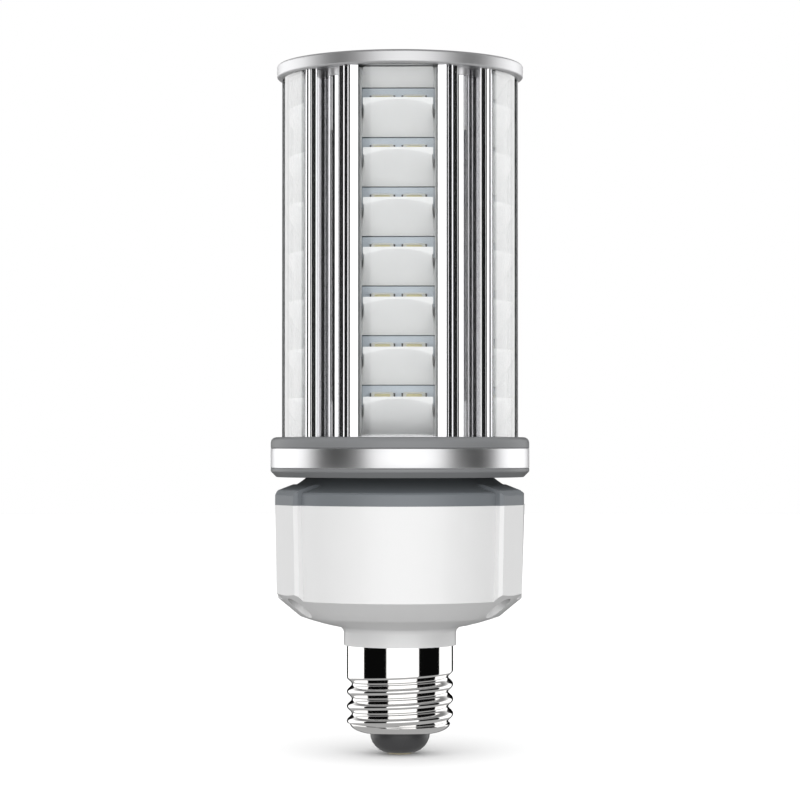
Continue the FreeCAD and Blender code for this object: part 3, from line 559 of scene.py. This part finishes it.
@dataclass
class Studio:
    """The white studio: a ring of soft panels, a pale floor and the camera."""

    panels: tuple[Panel, ...] = (
        Panel(-180, -152, 0.002), Panel(-152, -84, 0.95), Panel(-84, -28, 0.002),
        Panel(-28, 42, 1.0), Panel(42, 96, 0.002), Panel(96, 152, 0.95), Panel(152, 180, 0.002),
    )
    softness: float = 2.5
    strength: float = 1.5
    zenith: float = 0.24
    zenith_from: float = 0.22
    zenith_full: float = 0.60
    nadir: float = 0.42
    nadir_from: float = 0.14
    nadir_full: float = 0.45
    fill: float = 0.42
    front: float = 1.48
    back: float = 0.50
    over: float = 0.85
    under: float = 0.42
    floor_radius: float = 2.4
    camera_distance: float = 0.667
    camera_azimuth: float = 1.0
    camera_height: float = 0.0484
    aim_height: float = 0.0603
    lens: float = 121.5

    def build(self, shop: Workshop) -> None:
        """Builds the light, the floor and the camera."""
        self.light_world()
        self.lay_floor(shop)
        self.place_camera()

    def light_world(self) -> None:
        """Lights the scene: a wall of panels for the gloss, and an even dome for the rest."""
        world = bpy.data.worlds.new("studio")
        bpy.context.scene.world = world
        graph = Graph(world, "ShaderNodeOutputWorld")
        split = graph.add("ShaderNodeSeparateXYZ")
        graph.wire(graph.add("ShaderNodeTexCoord").outputs["Generated"], split.inputs[0])
        path = graph.add("ShaderNodeLightPath")
        lit = self.choose(graph, path.outputs["Is Diffuse Ray"], self.wall(graph, *split.outputs),
                          self.dome(graph, *split.outputs[1:]))
        background = graph.add("ShaderNodeBackground")
        background.inputs["Color"].default_value = (1.0, 1.0, 1.0, 1.0)
        graph.wire(self.choose(graph, path.outputs["Is Camera Ray"], lit, 1.0),
                   background.inputs["Strength"])
        graph.wire(background.outputs[0], graph.output.inputs["Surface"])

    def choose(self, graph: Graph, share: bpy.types.NodeSocket, low: object,
               high: object) -> bpy.types.NodeSocket:
        """Returns low where the share is 0 and high where it is 1."""
        return graph.ramp(share, 0.0, 1.0, low, high)

    def wall(self, graph: Graph, x: bpy.types.NodeSocket, y: bpy.types.NodeSocket,
             z: bpy.types.NodeSocket) -> bpy.types.NodeSocket:
        """Returns the light that glossy surfaces mirror: panels, with even ends above and below.

        Args:
            graph: the world's tree.
            x: the direction's part to the right.
            y: its part to the back.
            z: its part upwards.
        """
        azimuth = graph.math("ARCTAN2", x, graph.math("MULTIPLY", y, -1.0))
        share = graph.math("ADD", graph.math("DIVIDE", azimuth, 2 * math.pi), 0.5)
        bands = graph.add("ShaderNodeValToRGB")
        bands.color_ramp.interpolation = "EASE"
        graph.wire(share, bands.inputs[0])
        stops = [(place, panel.light) for panel in self.panels
                 for place in (panel.start + self.softness / 2, panel.end - self.softness / 2)]
        elements = bands.color_ramp.elements
        while len(elements) < len(stops):
            elements.new(0.5)
        for element, (place, light) in zip(elements, stops):
            element.position = place / 360 + 0.5
            element.color = (light, light, light, 1.0)
        middle = graph.math("MULTIPLY", bands.outputs[0], self.strength)
        upper = graph.ramp(z, self.zenith_from, self.zenith_full, middle, self.zenith)
        return graph.ramp(graph.math("MULTIPLY", z, -1.0), self.nadir_from, self.nadir_full,
                          upper, self.nadir)

    def dome(self, graph: Graph, y: bpy.types.NodeSocket,
             z: bpy.types.NodeSocket) -> bpy.types.NodeSocket:
        """Returns the light that matt surfaces gather, strongest in front and above.

        It is the fill, plus each side's light times the part of the direction that
        points to that side: front, back and over, less the light missing under.
        """
        total = self.fill
        for part, sign, light in ((y, -1.0, self.front), (y, 1.0, self.back),
                                  (z, 1.0, self.over), (z, -1.0, -self.under)):
            toward = graph.math("MAXIMUM", graph.math("MULTIPLY", part, sign), 0.0)
            total = graph.math("ADD", graph.math("MULTIPLY", toward, light), total)
        return graph.math("MAXIMUM", total, 0.0)

    def lay_floor(self, shop: Workshop) -> None:
        """Lays a round pale floor under the contact.

        The floor is a grid of rings, whose middle ring has no radius.
        """
        lowest = CAD_BOX[0][2]
        rings = self.floor_radius * np.linspace(0, 1, 9) ** 2
        points, faces = turned_surface(rings, np.full(9, lowest), 96)
        inner = faces[:, [0, 1, 2, 3]].reshape(96, 9, 4)[:, :8].reshape(-1, 4)
        floor = shop.surface("floor", points, inner)
        floor.data.materials.append(shop.materials[PAPER_FLOOR.slot])
        floor.visible_glossy = False
        floor.visible_diffuse = False

    def place_camera(self) -> None:
        """Sets the camera at the photograph's place."""
        data = bpy.data.cameras.new("camera")
        data.lens = self.lens
        camera = bpy.data.objects.new("camera", data)
        bpy.context.scene.collection.objects.link(camera)
        bpy.context.scene.camera = camera
        azimuth = math.radians(self.camera_azimuth)
        camera.location = (self.camera_distance * math.sin(azimuth),
                           -self.camera_distance * math.cos(azimuth), self.camera_height)
        fall = math.atan2(self.aim_height - self.camera_height, self.camera_distance)
        camera.rotation_euler = (math.pi / 2 + fall, 0.0, azimuth)
        bpy.context.scene.view_settings.view_transform = "Standard"


@dataclass
class HeatSink:
    """The extruded body with its end cap and screws."""

    edge: float = 0.12
    cap_edge: float = 0.15

    def build(self, shop: Workshop) -> None:
        """Builds the extrusion, the cap and the cap's screws."""
        shop.fit(shop.smooth_copy("heat_sink", 25.0), "polished_aluminium", "heat_sink")
        shop.fit(shop.smooth_copy("top_cap", 30.0, self.cap_edge), "satin_aluminium", "top_cap")
        shop.fit(shop.smooth_copy("cap_screws", 30.0, 0.1), "screw_steel", "cap_screws")


@dataclass
class LedChannel:
    """One channel's board, LED packages, reflector tray and clear cover."""

    index: int
    package: tuple[float, float, float] = (5.4, 3.0, 0.9)
    window: tuple[float, float] = (3.8, 2.2)
    window_depth: float = 0.12
    terminal: float = 0.7
    rim: float = 0.12
    round_steps: int = 32
    ring_count: int = 6
    tiers: int = 7
    pitch: float = 11.86
    strip: float = 2.95
    lip_start: float = 0.6
    floor_plane: float = 20.2
    board_face: float = 21.8
    board_half: float = 9.2
    # Height of the painted shadow line along each strip's top, and where its painted end lines stand
    # across.
    painted_shadow_line: float = 0.24
    shadow_line_place: float = 8.78
    toe: float = 0.4
    lip_plane: float = 27.5
    lip_proud: float = 0.25
    lip_bow: float = 0.75
    lip_wall: float = 0.7
    lip_half: float = 8.35
    shoulder_half: float = 8.0
    seam: float = 0.03
    foot_half: float = 8.72
    bulge: float = 0.35
    ledge: float = 2.4
    lean: float = 1.4
    pad: float = 0.4
    rail: float = 0.65
    rail_out: float = 9.4
    rail_top: float = 24.9
    louvre_columns: int = 25
    cover_radius: float = 29.1
    cover_thickness: float = 1.0
    cover_half_width: float = 9.4
    cover_foot: float = 1.0
    cover_shade_from: float = 8.95
    cover_foot_plane: float = 25.0
    cover_steps: int = 33

    def build(self, shop: Workshop) -> None:
        """Builds the channel's pieces."""
        number = str(self.index)
        self.board(shop, number)
        self.packages(shop, number)
        self.tray(shop, number)
        self.cover(shop, number)

    def turned_out(self, across: np.ndarray, out: np.ndarray, height: np.ndarray) -> np.ndarray:
        """Returns points in metres from millimetres across, out and up in this channel.

        The x is across times the cosine of the channel's angle plus out times its sine;
        the y is across times the sine less out times the cosine.
        """
        angle = (self.index - 1) * SIDE_ANGLE
        across, out, height = np.broadcast_arrays(across, out, height)
        return np.stack([across * math.cos(angle) + out * math.sin(angle),
                         across * math.sin(angle) - out * math.cos(angle), height],
                        axis=-1).reshape(-1, 3) * MM

    def lips(self) -> np.ndarray:
        """Returns the heights of the trays' lips, lowest first, in millimetres."""
        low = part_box("heat_sink")[0][2] / MM
        first = low + self.pitch - self.strip + self.lip_start
        return first + self.pitch * np.arange(self.tiers)

    def board(self, shop: Workshop, number: str) -> None:
        """Builds the board, with thin dark lines painted round each open strip: painted shade for the
        shadow under each louvre's ledge along the top and in the gaps at the ends.

        The section is a ring of eight points, carried up the board; the rows stand at
        the lower and upper edge of each strip's top line.
        """
        node = "led_board_" + number
        low, high = (corner[2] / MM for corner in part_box(node))
        tops = self.lips() + self.strip
        rows = np.sort(np.concatenate([[low, high], tops - self.painted_shadow_line, tops]))
        edge = self.shadow_line_place
        across = np.array([-self.board_half, -edge, self.painted_shadow_line / 2 - edge,
                           edge - self.painted_shadow_line / 2, edge, self.board_half, self.board_half,
                           -self.board_half])
        out = np.array([self.board_face] * 6 + [self.floor_plane] * 2)
        points = self.turned_out(across[None, :], out[None, :], rows[:, None])
        faces = grid_faces(len(rows), 8, False, True)
        # Faces in each strip's top rows and in the end columns take the painted shade's dark colour.
        row_shaded = (np.arange(len(rows) - 1) % 2 == 1)[:, None]
        column_shaded = np.array([0, 1, 0, 1, 0, 0, 0, 0], bool)[None, :]
        front = np.array([0, 1, 1, 1, 0, 0, 0, 0], bool)[None, :]
        tags = np.append(((row_shaded & front) | column_shaded).reshape(-1), [False, False])
        last = len(points)
        piece = outward(shop.surface(node + "_strip", points, faces, tags,
                                     (range(8), range(last - 8, last))))
        piece.data.materials.append(shop.materials["board_white"])
        piece.data.materials.append(shop.materials[PAINTED_SHADOW_LINE.slot])
        shop.fit(piece, "board_white", node)

    def tray(self, shop: Workshop, number: str) -> None:
        """Builds the white tray: eight louvres, their floor pads and two side rails."""
        node = "reflector_" + number
        low, high = (corner[2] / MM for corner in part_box(node))
        lips = self.lips()
        ends = np.array([self.rail_out - self.rail, self.rail_out])
        pieces = []
        pad_foot = low
        for lip in np.append(lips, lips[-1] + self.pitch):
            foot = lip - self.pitch + self.strip
            points, faces = self.louvre_shape(min((high - foot) / (lip - foot), 1.0))
            pieces.append((points + [0, 0, foot], faces))
            pieces.append(block((-ends[0], self.board_face, pad_foot),
                                (ends[0], self.board_face + self.pad, min(lip - self.ledge, high))))
            pad_foot = foot + self.pitch
        for side in (-1, 1):
            near, far = sorted(side * ends)
            pieces.append(block((near, self.board_face, low), (far, self.rail_top, high)))
        every = np.concatenate([shape for shape, _ in pieces])
        starts = np.cumsum([0] + [len(shape) for shape, _ in pieces[:-1]])
        quads = np.concatenate([quad + start for (_, quad), start in zip(pieces, starts)])
        placed = self.turned_out(every[:, 0], every[:, 1], every[:, 2])
        piece = outward(shop.surface(node + "_tray", placed, quads))
        shop.shade(piece.data, 26.0)
        shop.finish_edges(piece, 26.0, 0.09)
        shop.fit(piece, "reflector_white", node)

    def louvre_shape(self, cut: float) -> tuple[np.ndarray, np.ndarray]:
        """Returns one louvre (across, out, height above its foot) and its quads, in millimetres.

        With t from 0 at the foot to 1 at the lip, the sloped front is the toe plus the
        reach times t plus four bulges times t times (1 - t), and the upright lip is its
        plane less the bow times the share across squared. They meet where the two are
        equal, which is the louvre's arch. The back is the board's face up to the ledge
        and the inside of the lip above it. A louvre that is cut stops flat at that t,
        which lies below the ledge.

        Args:
            cut: the t at which the louvre stops.
        """
        share = np.linspace(-1, 1, self.louvre_columns)[:, None]
        height = self.pitch - self.strip
        toe = self.board_face + self.toe
        reach = self.lip_plane + self.lip_proud - toe
        plane = self.lip_plane - self.lip_bow * share ** 2
        linear = reach + 4 * self.bulge
        arch = (linear - np.sqrt(linear ** 2 - 16 * self.bulge * (plane - toe))) / (8 * self.bulge)
        rise = np.concatenate([arch * np.linspace(0, 1, 13)[None, :],
                               arch + (1 - arch) * np.linspace(0, 1, 5)[None, 1:]], axis=1)
        count = rise.shape[1]
        ledge = 1 - self.ledge / height
        back_rise = np.concatenate([np.linspace(0, ledge, 12), np.linspace(ledge, 1, count - 12)])
        inside = self.lip_plane - self.lip_bow - self.lip_wall
        back = np.concatenate([np.full(12, self.board_face),
                               np.linspace(inside - self.lean, inside, count - 12)])
        face_half = self.foot_half - self.seam
        front_half = np.concatenate([np.linspace(face_half, self.shoulder_half, 13),
                                     np.full(count - 13, self.lip_half - self.seam)])
        bevel = np.where(np.arange(count) < 13, self.foot_half - front_half, 0.0)
        back_half = np.where(np.arange(count) < 12, self.foot_half, self.lip_half)
        if cut < ledge:
            back_rise = cut * np.linspace(0, 1, count)
            back = np.full(count, self.board_face)
            rise = np.broadcast_to(back_rise, rise.shape)
            front_half = face_half - (face_half - self.shoulder_half) * back_rise
            bevel = self.foot_half - front_half
            back_half = np.full(count, self.foot_half)
        front = np.minimum(toe + reach * rise + 4 * self.bulge * rise * (1 - rise), plane)
        side_out = front[:1] - bevel
        side_half = np.where(side_out > self.rail_top, self.lip_half, self.foot_half)
        front = np.concatenate([side_out, front, side_out])
        rise = np.concatenate([rise[:1], rise, rise[-1:]])
        columns = len(front)
        inner_half = np.broadcast_to(front_half, (columns - 2, count))
        half = np.concatenate([side_half, inner_half, side_half])
        rear_half = np.broadcast_to(back_half - self.seam, (columns - 2, count))
        rear_half = np.concatenate([back_half[None], rear_half, back_half[None]])
        share = np.concatenate([share[:1], share, share[-1:]])
        back = np.broadcast_to(back, rise.shape)
        ring_rise = np.concatenate([rise, np.broadcast_to(back_rise[::-1], rise.shape)], axis=1)
        ring_out = np.concatenate([front, back[:, ::-1]], axis=1)
        across = share * np.concatenate([half, rear_half[:, ::-1]], axis=1)
        points = np.stack([across, ring_out, ring_rise * height], axis=-1).reshape(-1, 3)
        side = np.arange(count - 1)
        end = np.stack([side, side + 1, 2 * count - 2 - side, 2 * count - 1 - side], axis=1)
        far = end + 2 * count * (columns - 1)
        faces = np.concatenate([grid_faces(columns, 2 * count, False, True), end, far])
        return points, faces

    def cover(self, shop: Workshop, number: str) -> None:
        """Builds the clear cover, with painted shade at the outer side of its two feet: a darker tint
        there stands in for the dark edge that the cover shows at a glancing angle.

        A column of the grid is one place across. Its outside is the root of the radius
        squared less that place squared, and its inside is the same at the inner radius,
        or the foot's plane within a foot's width of the end. Each column is a ring of
        four points: outside low and high, inside high and low.
        """
        node = "cover_" + number
        low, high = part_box(node)
        edge = self.cover_half_width - self.cover_foot
        step = 0.02
        bow = np.linspace(-edge + step, edge - step, self.cover_steps)
        across = np.concatenate([[-self.cover_half_width, -self.cover_shade_from, -edge - step], bow,
                                 [edge + step, self.cover_shade_from, self.cover_half_width]])
        outside = np.sqrt(self.cover_radius ** 2 - across ** 2)
        inner = self.cover_radius - self.cover_thickness
        inside = np.where(np.abs(across) > edge, self.cover_foot_plane,
                          np.sqrt(inner ** 2 - across ** 2))
        out = np.stack([outside, outside, inside, inside], axis=1) * MM
        height = np.broadcast_to([low[2], high[2], high[2], low[2]], out.shape)
        angle = (self.index - 1) * SIDE_ANGLE
        u = np.broadcast_to(across[:, None] * MM, out.shape)
        points = np.stack([u * math.cos(angle) + out * math.sin(angle),
                           u * math.sin(angle) - out * math.cos(angle), height], axis=-1)
        columns = len(across)
        last = 4 * (columns - 1)
        faces = np.concatenate([grid_faces(columns, 4, False, True),
                                [[0, 1, 2, 3], [last, last + 1, last + 2, last + 3]]])
        # Faces beyond the painted shade's start across take the darker tint, which is painted shade.
        middle = np.abs(across[1:] + across[:-1]) / 2
        tags = np.concatenate([np.repeat(middle > self.cover_shade_from, 4), [True, True]])
        piece = outward(shop.surface(node + "_lens", points.reshape(-1, 3), faces, tags))
        piece.data.materials.append(shop.materials["clear_cover"])
        piece.data.materials.append(shop.materials[COVER_FOOT_SHADE.slot])
        shop.shade(piece.data, 30.0)
        shop.finish_edges(piece, 30.0, 0.06)
        shop.fit(piece, "clear_cover", node)

    def packages(self, shop: Workshop, number: str) -> None:
        """Builds the rows of LED packages as one piece.

        Each package is a stack of rounded rectangles: foot, shoulder, rim, window edge
        and window. Its two ends carry flat dark terminals.
        """
        node = "led_packages_" + number
        centres = self.centres(node)
        outline, tags, faces = self.template()
        angle = (self.index - 1) * SIDE_ANGLE
        across = np.array([math.cos(angle), math.sin(angle), 0.0])
        out = np.array([math.sin(angle), -math.cos(angle), 0.0])
        up = np.array([0.0, 0.0, 1.0])
        local = (outline[:, :1] * across + outline[:, 1:2] * up + outline[:, 2:] * out) * MM
        points = (centres[:, None, :] + local[None]).reshape(-1, 3)
        starts = np.arange(len(centres)) * len(outline)
        quads = (faces[None] + starts[:, None, None]).reshape(-1, 4)
        window = self.round_steps * (self.ring_count - 1)
        caps = tuple(range(start + skip, start + skip + self.round_steps)
                     for skip in (0, window) for start in starts.tolist())
        cap_tags = np.repeat([0, 1], len(centres))
        every = np.concatenate([np.tile(tags, len(centres)), cap_tags])
        piece = outward(shop.surface(node + "_dies", points, quads, every, caps))
        for slot in ("led_package", PHOSPHOR.slot, TERMINAL.slot):
            piece.data.materials.append(shop.materials[slot])
        shop.shade(piece.data, 35.0)
        shop.fit(piece, "led_package", node)

    def centres(self, node: str) -> np.ndarray:
        """Returns the middle of each package's foot, read from the node's loose solids."""
        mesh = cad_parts[node].data
        points = np.empty(len(mesh.vertices) * 3, np.float32)
        mesh.vertices.foreach_get("co", points)
        points = points.reshape(-1, 3).astype(float)
        angle = (self.index - 1) * SIDE_ANGLE
        out = np.array([math.sin(angle), -math.cos(angle), 0.0])
        across = np.array([math.cos(angle), math.sin(angle), 0.0])
        foot = (points @ out).min()
        rows = np.unique(np.round(points[:, 2], 5))
        heights = (rows[0::2] + rows[1::2]) / 2
        sides = np.abs(points @ across)
        middle = (sides.min() + sides.max()) / 2
        return np.array([side * middle * across + foot * out + np.array([0.0, 0.0, height])
                         for height in heights for side in (-1, 1)])

    def template(self) -> tuple[np.ndarray, np.ndarray, np.ndarray]:
        """Returns one package's points (across, up, out), face tags and quads, in millimetres.

        Ring k is a rounded rectangle: its half sides times the cosine and sine of the
        angle raised to a small power, which keeps the corners nearly square.
        """
        width, height, depth = self.package
        steps = self.round_steps
        angle = np.linspace(0, 2 * np.pi, steps, endpoint=False) + np.pi / steps
        square = 0.22
        unit = np.stack([np.sign(np.cos(angle)) * np.abs(np.cos(angle)) ** square,
                         np.sign(np.sin(angle)) * np.abs(np.sin(angle)) ** square], axis=-1)
        rings = [
            (width / 2, height / 2, 0.0),
            (width / 2, height / 2, depth - self.rim),
            (width / 2 - self.rim, height / 2 - self.rim, depth),
            (self.window[0] / 2, self.window[1] / 2, depth),
            (self.window[0] / 2 - 0.08, self.window[1] / 2 - 0.08, depth - self.window_depth),
            (self.window[0] / 4, self.window[1] / 4, depth - self.window_depth * 0.6),
        ]
        points = [np.column_stack([unit[:, 0] * a, unit[:, 1] * b, np.full(steps, out)])
                  for a, b, out in rings]
        body = np.concatenate(points)
        faces = grid_faces(self.ring_count, steps, False, True)
        ring_of = np.repeat(np.arange(self.ring_count - 1), steps)
        tags = np.where(ring_of >= 3, 1, 0)
        blocks, block_faces, block_tags = self.terminals(len(body))
        return (np.concatenate([body, blocks]), np.concatenate([tags, block_tags]),
                np.concatenate([faces, block_faces]))

    def terminals(self, start: int) -> tuple[np.ndarray, np.ndarray, np.ndarray]:
        """Returns the two end terminals as small closed blocks.

        Args:
            start: the number of the first new vertex.

        Returns:
            The points, the quads and the face tags.
        """
        width, height, depth = self.package
        corners, quads = block((0, 0, 0), (1, 1, 1))
        points = []
        for side in (-1, 1):
            low = np.array([side * width / 2 - self.terminal / 2, -height * 0.42, 0.0])
            size = np.array([self.terminal, height * 0.84, depth * 0.9])
            points.append(low + corners * size)
        faces = np.concatenate([quads + start, quads + start + 8])
        return np.concatenate(points), faces, np.full(len(faces), 2)


@dataclass
class BaseRing:
    """The grey ring with its bright band and screws."""

    band_round: float = 0.25
    steps: int = 256

    def build(self, shop: Workshop) -> None:
        """Builds the ring, the band and the ring's screws."""
        shop.fit(shop.smooth_copy("base_ring", 30.0, 0.15), "ring_grey", "base_ring")
        shop.fit(shop.smooth_copy("ring_screws", 30.0), "screw_steel", "ring_screws")
        self.band(shop)

    def band(self, shop: Workshop) -> None:
        """Builds the band: a flat hoop whose outer edges are quarter rounds."""
        low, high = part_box("trim_band")
        outer = high[0]
        inner = outer - 0.9 * MM
        size = self.band_round * MM
        turn = np.linspace(0, np.pi / 2, 6)
        radius = np.concatenate([
            [inner, inner],
            outer - size + size * np.sin(turn),
            outer - size + size * np.cos(turn),
        ])
        height = np.concatenate([
            [high[2], low[2]],
            low[2] + size - size * np.cos(turn),
            high[2] - size + size * np.sin(turn),
        ])
        points, faces = turned_surface(radius, height, self.steps)
        piece = outward(shop.surface("trim_band_hoop", points, faces))
        shop.shade(piece.data, 40.0)
        shop.fit(piece, "brushed_band", "trim_band")


@dataclass
class Neck:
    """The grey neck between the housing and the ring."""

    def build(self, shop: Workshop) -> None:
        """Builds the neck and its screws."""
        shop.fit(shop.smooth_copy("neck", 24.0, 0.2), "neck_grey", "neck")
        shop.fit(shop.smooth_copy("neck_screws", 30.0), "screw_steel", "neck_screws")


@dataclass
class DriverHousing:
    """The white housing, its screws and the driver inside it."""

    hidden: dict[str, str] = field(default_factory=lambda: {
        "driver_board": "driver_green", "transformer": "driver_parts", "capacitors": "driver_parts",
        "driver_chips": "driver_parts", "output_leads": "lead_insulation",
        "input_lead": "lead_insulation",
    })

    def build(self, shop: Workshop) -> None:
        """Builds the housing and its screws, and dresses the driver."""
        shop.fit(shop.smooth_copy("driver_housing", 24.0, 0.3), "housing_white", "driver_housing")
        shop.fit(shop.smooth_copy("housing_screws", 30.0), "screw_steel", "housing_screws")
        for node, slot in self.hidden.items():
            shop.dress(node, slot)


@dataclass
class ScrewBase:
    """The plated shell with its rolled thread, the insulator and the contact."""

    radius: float = 13.1
    pitch: float = 3.629
    depth: float = 1.2
    groove_start: float = 7.7
    groove_end: float = 19.6
    front_groove: float = 8.8
    length: float = 21.6
    mouth: float = 7.4
    sheet: float = 0.45
    round_steps: int = 192
    length_steps: int = 240

    def build(self, shop: Workshop) -> None:
        """Builds the shell, the insulator and the contact."""
        self.shell(shop)
        shop.fit(shop.smooth_copy("base_insulator", 30.0, 0.1), "insulator_black", "base_insulator")
        shop.fit(shop.smooth_copy("centre_contact", 30.0, 0.1), "contact_metal", "centre_contact")

    def profile(self, down: np.ndarray, angle: np.ndarray) -> np.ndarray:
        """Returns the shell's radius, in millimetres.

        The groove's phase is the depth below the front groove plus the pitch times the
        angle over a full turn. The radius is the shell's, less half the thread's depth
        times one plus the cosine of the phase, faded in at the top and out at the
        bottom; the end turns in to the mouth on an ellipse.

        Args:
            down: the distance below the collar, in millimetres.
            angle: the angle from the front, in radians.
        """
        phase = (down - self.front_groove + self.pitch * angle / (2 * np.pi)) / self.pitch
        fade_in = smooth_step(self.groove_start - 1.1, self.groove_start + 0.2,
                              down + self.pitch * angle / (2 * np.pi))
        fade_out = 1 - smooth_step(self.groove_end - 0.6, self.groove_end + 0.8, down)
        wave = (0.5 + 0.5 * np.cos(2 * np.pi * phase)) ** 1.15
        radius = self.radius - self.depth * wave * fade_in * fade_out
        turn = np.clip((down - self.groove_end + 0.4) / (self.length - self.groove_end + 0.4), 0, 1)
        inner = self.mouth + (self.radius - self.depth * 0.6 - self.mouth) * np.sqrt(1 - turn ** 2)
        return np.where(turn > 0, np.minimum(radius, inner), radius)

    def shell(self, shop: Workshop) -> None:
        """Builds the shell as a thin sheet: the outside and the same surface set inwards."""
        angle = np.linspace(-np.pi, np.pi, self.round_steps, endpoint=False)[:, None]
        share = np.linspace(0, 1, self.length_steps)
        down = (self.length * (1 - (1 - share) ** 1.25))[None, :]
        radius = self.profile(down, angle)
        inside = np.maximum(radius - self.sheet, self.mouth - self.sheet)
        rings = np.concatenate([radius, inside[:, ::-1]], axis=1)
        depth = np.broadcast_to(down, radius.shape)
        inner_depth = np.minimum(depth, self.length - self.sheet)
        heights = -np.concatenate([depth, inner_depth[:, ::-1]], axis=1)
        points = np.stack([rings * np.sin(angle), -rings * np.cos(angle), heights], axis=-1)
        faces = grid_faces(self.round_steps, 2 * self.length_steps, True, True)
        piece = outward(shop.surface("base_shell_rolled", points.reshape(-1, 3) * MM, faces))
        shop.shade(piece.data, 50.0)
        shop.fit(piece, "base_plating", "base_shell")


def smooth_step(low: float, high: float, value: np.ndarray) -> np.ndarray:
    """Returns 0 below low, 1 above high and three t squared minus two t cubed between."""
    t = np.clip((value - low) / (high - low), 0, 1)
    return t * t * (3 - 2 * t)


def main() -> None:
    """Builds the studio and the lamp, part by part."""
    logging.basicConfig(level=logging.INFO, format="%(name)s: %(message)s")
    shop = Workshop()
    Studio().build(shop)
    HeatSink().build(shop)
    for index in range(1, SIDES + 1):
        LedChannel(index).build(shop)
    BaseRing().build(shop)
    Neck().build(shop)
    DriverHousing().build(shop)
    ScrewBase().build(shop)


if __name__ == "__main__":
    main()
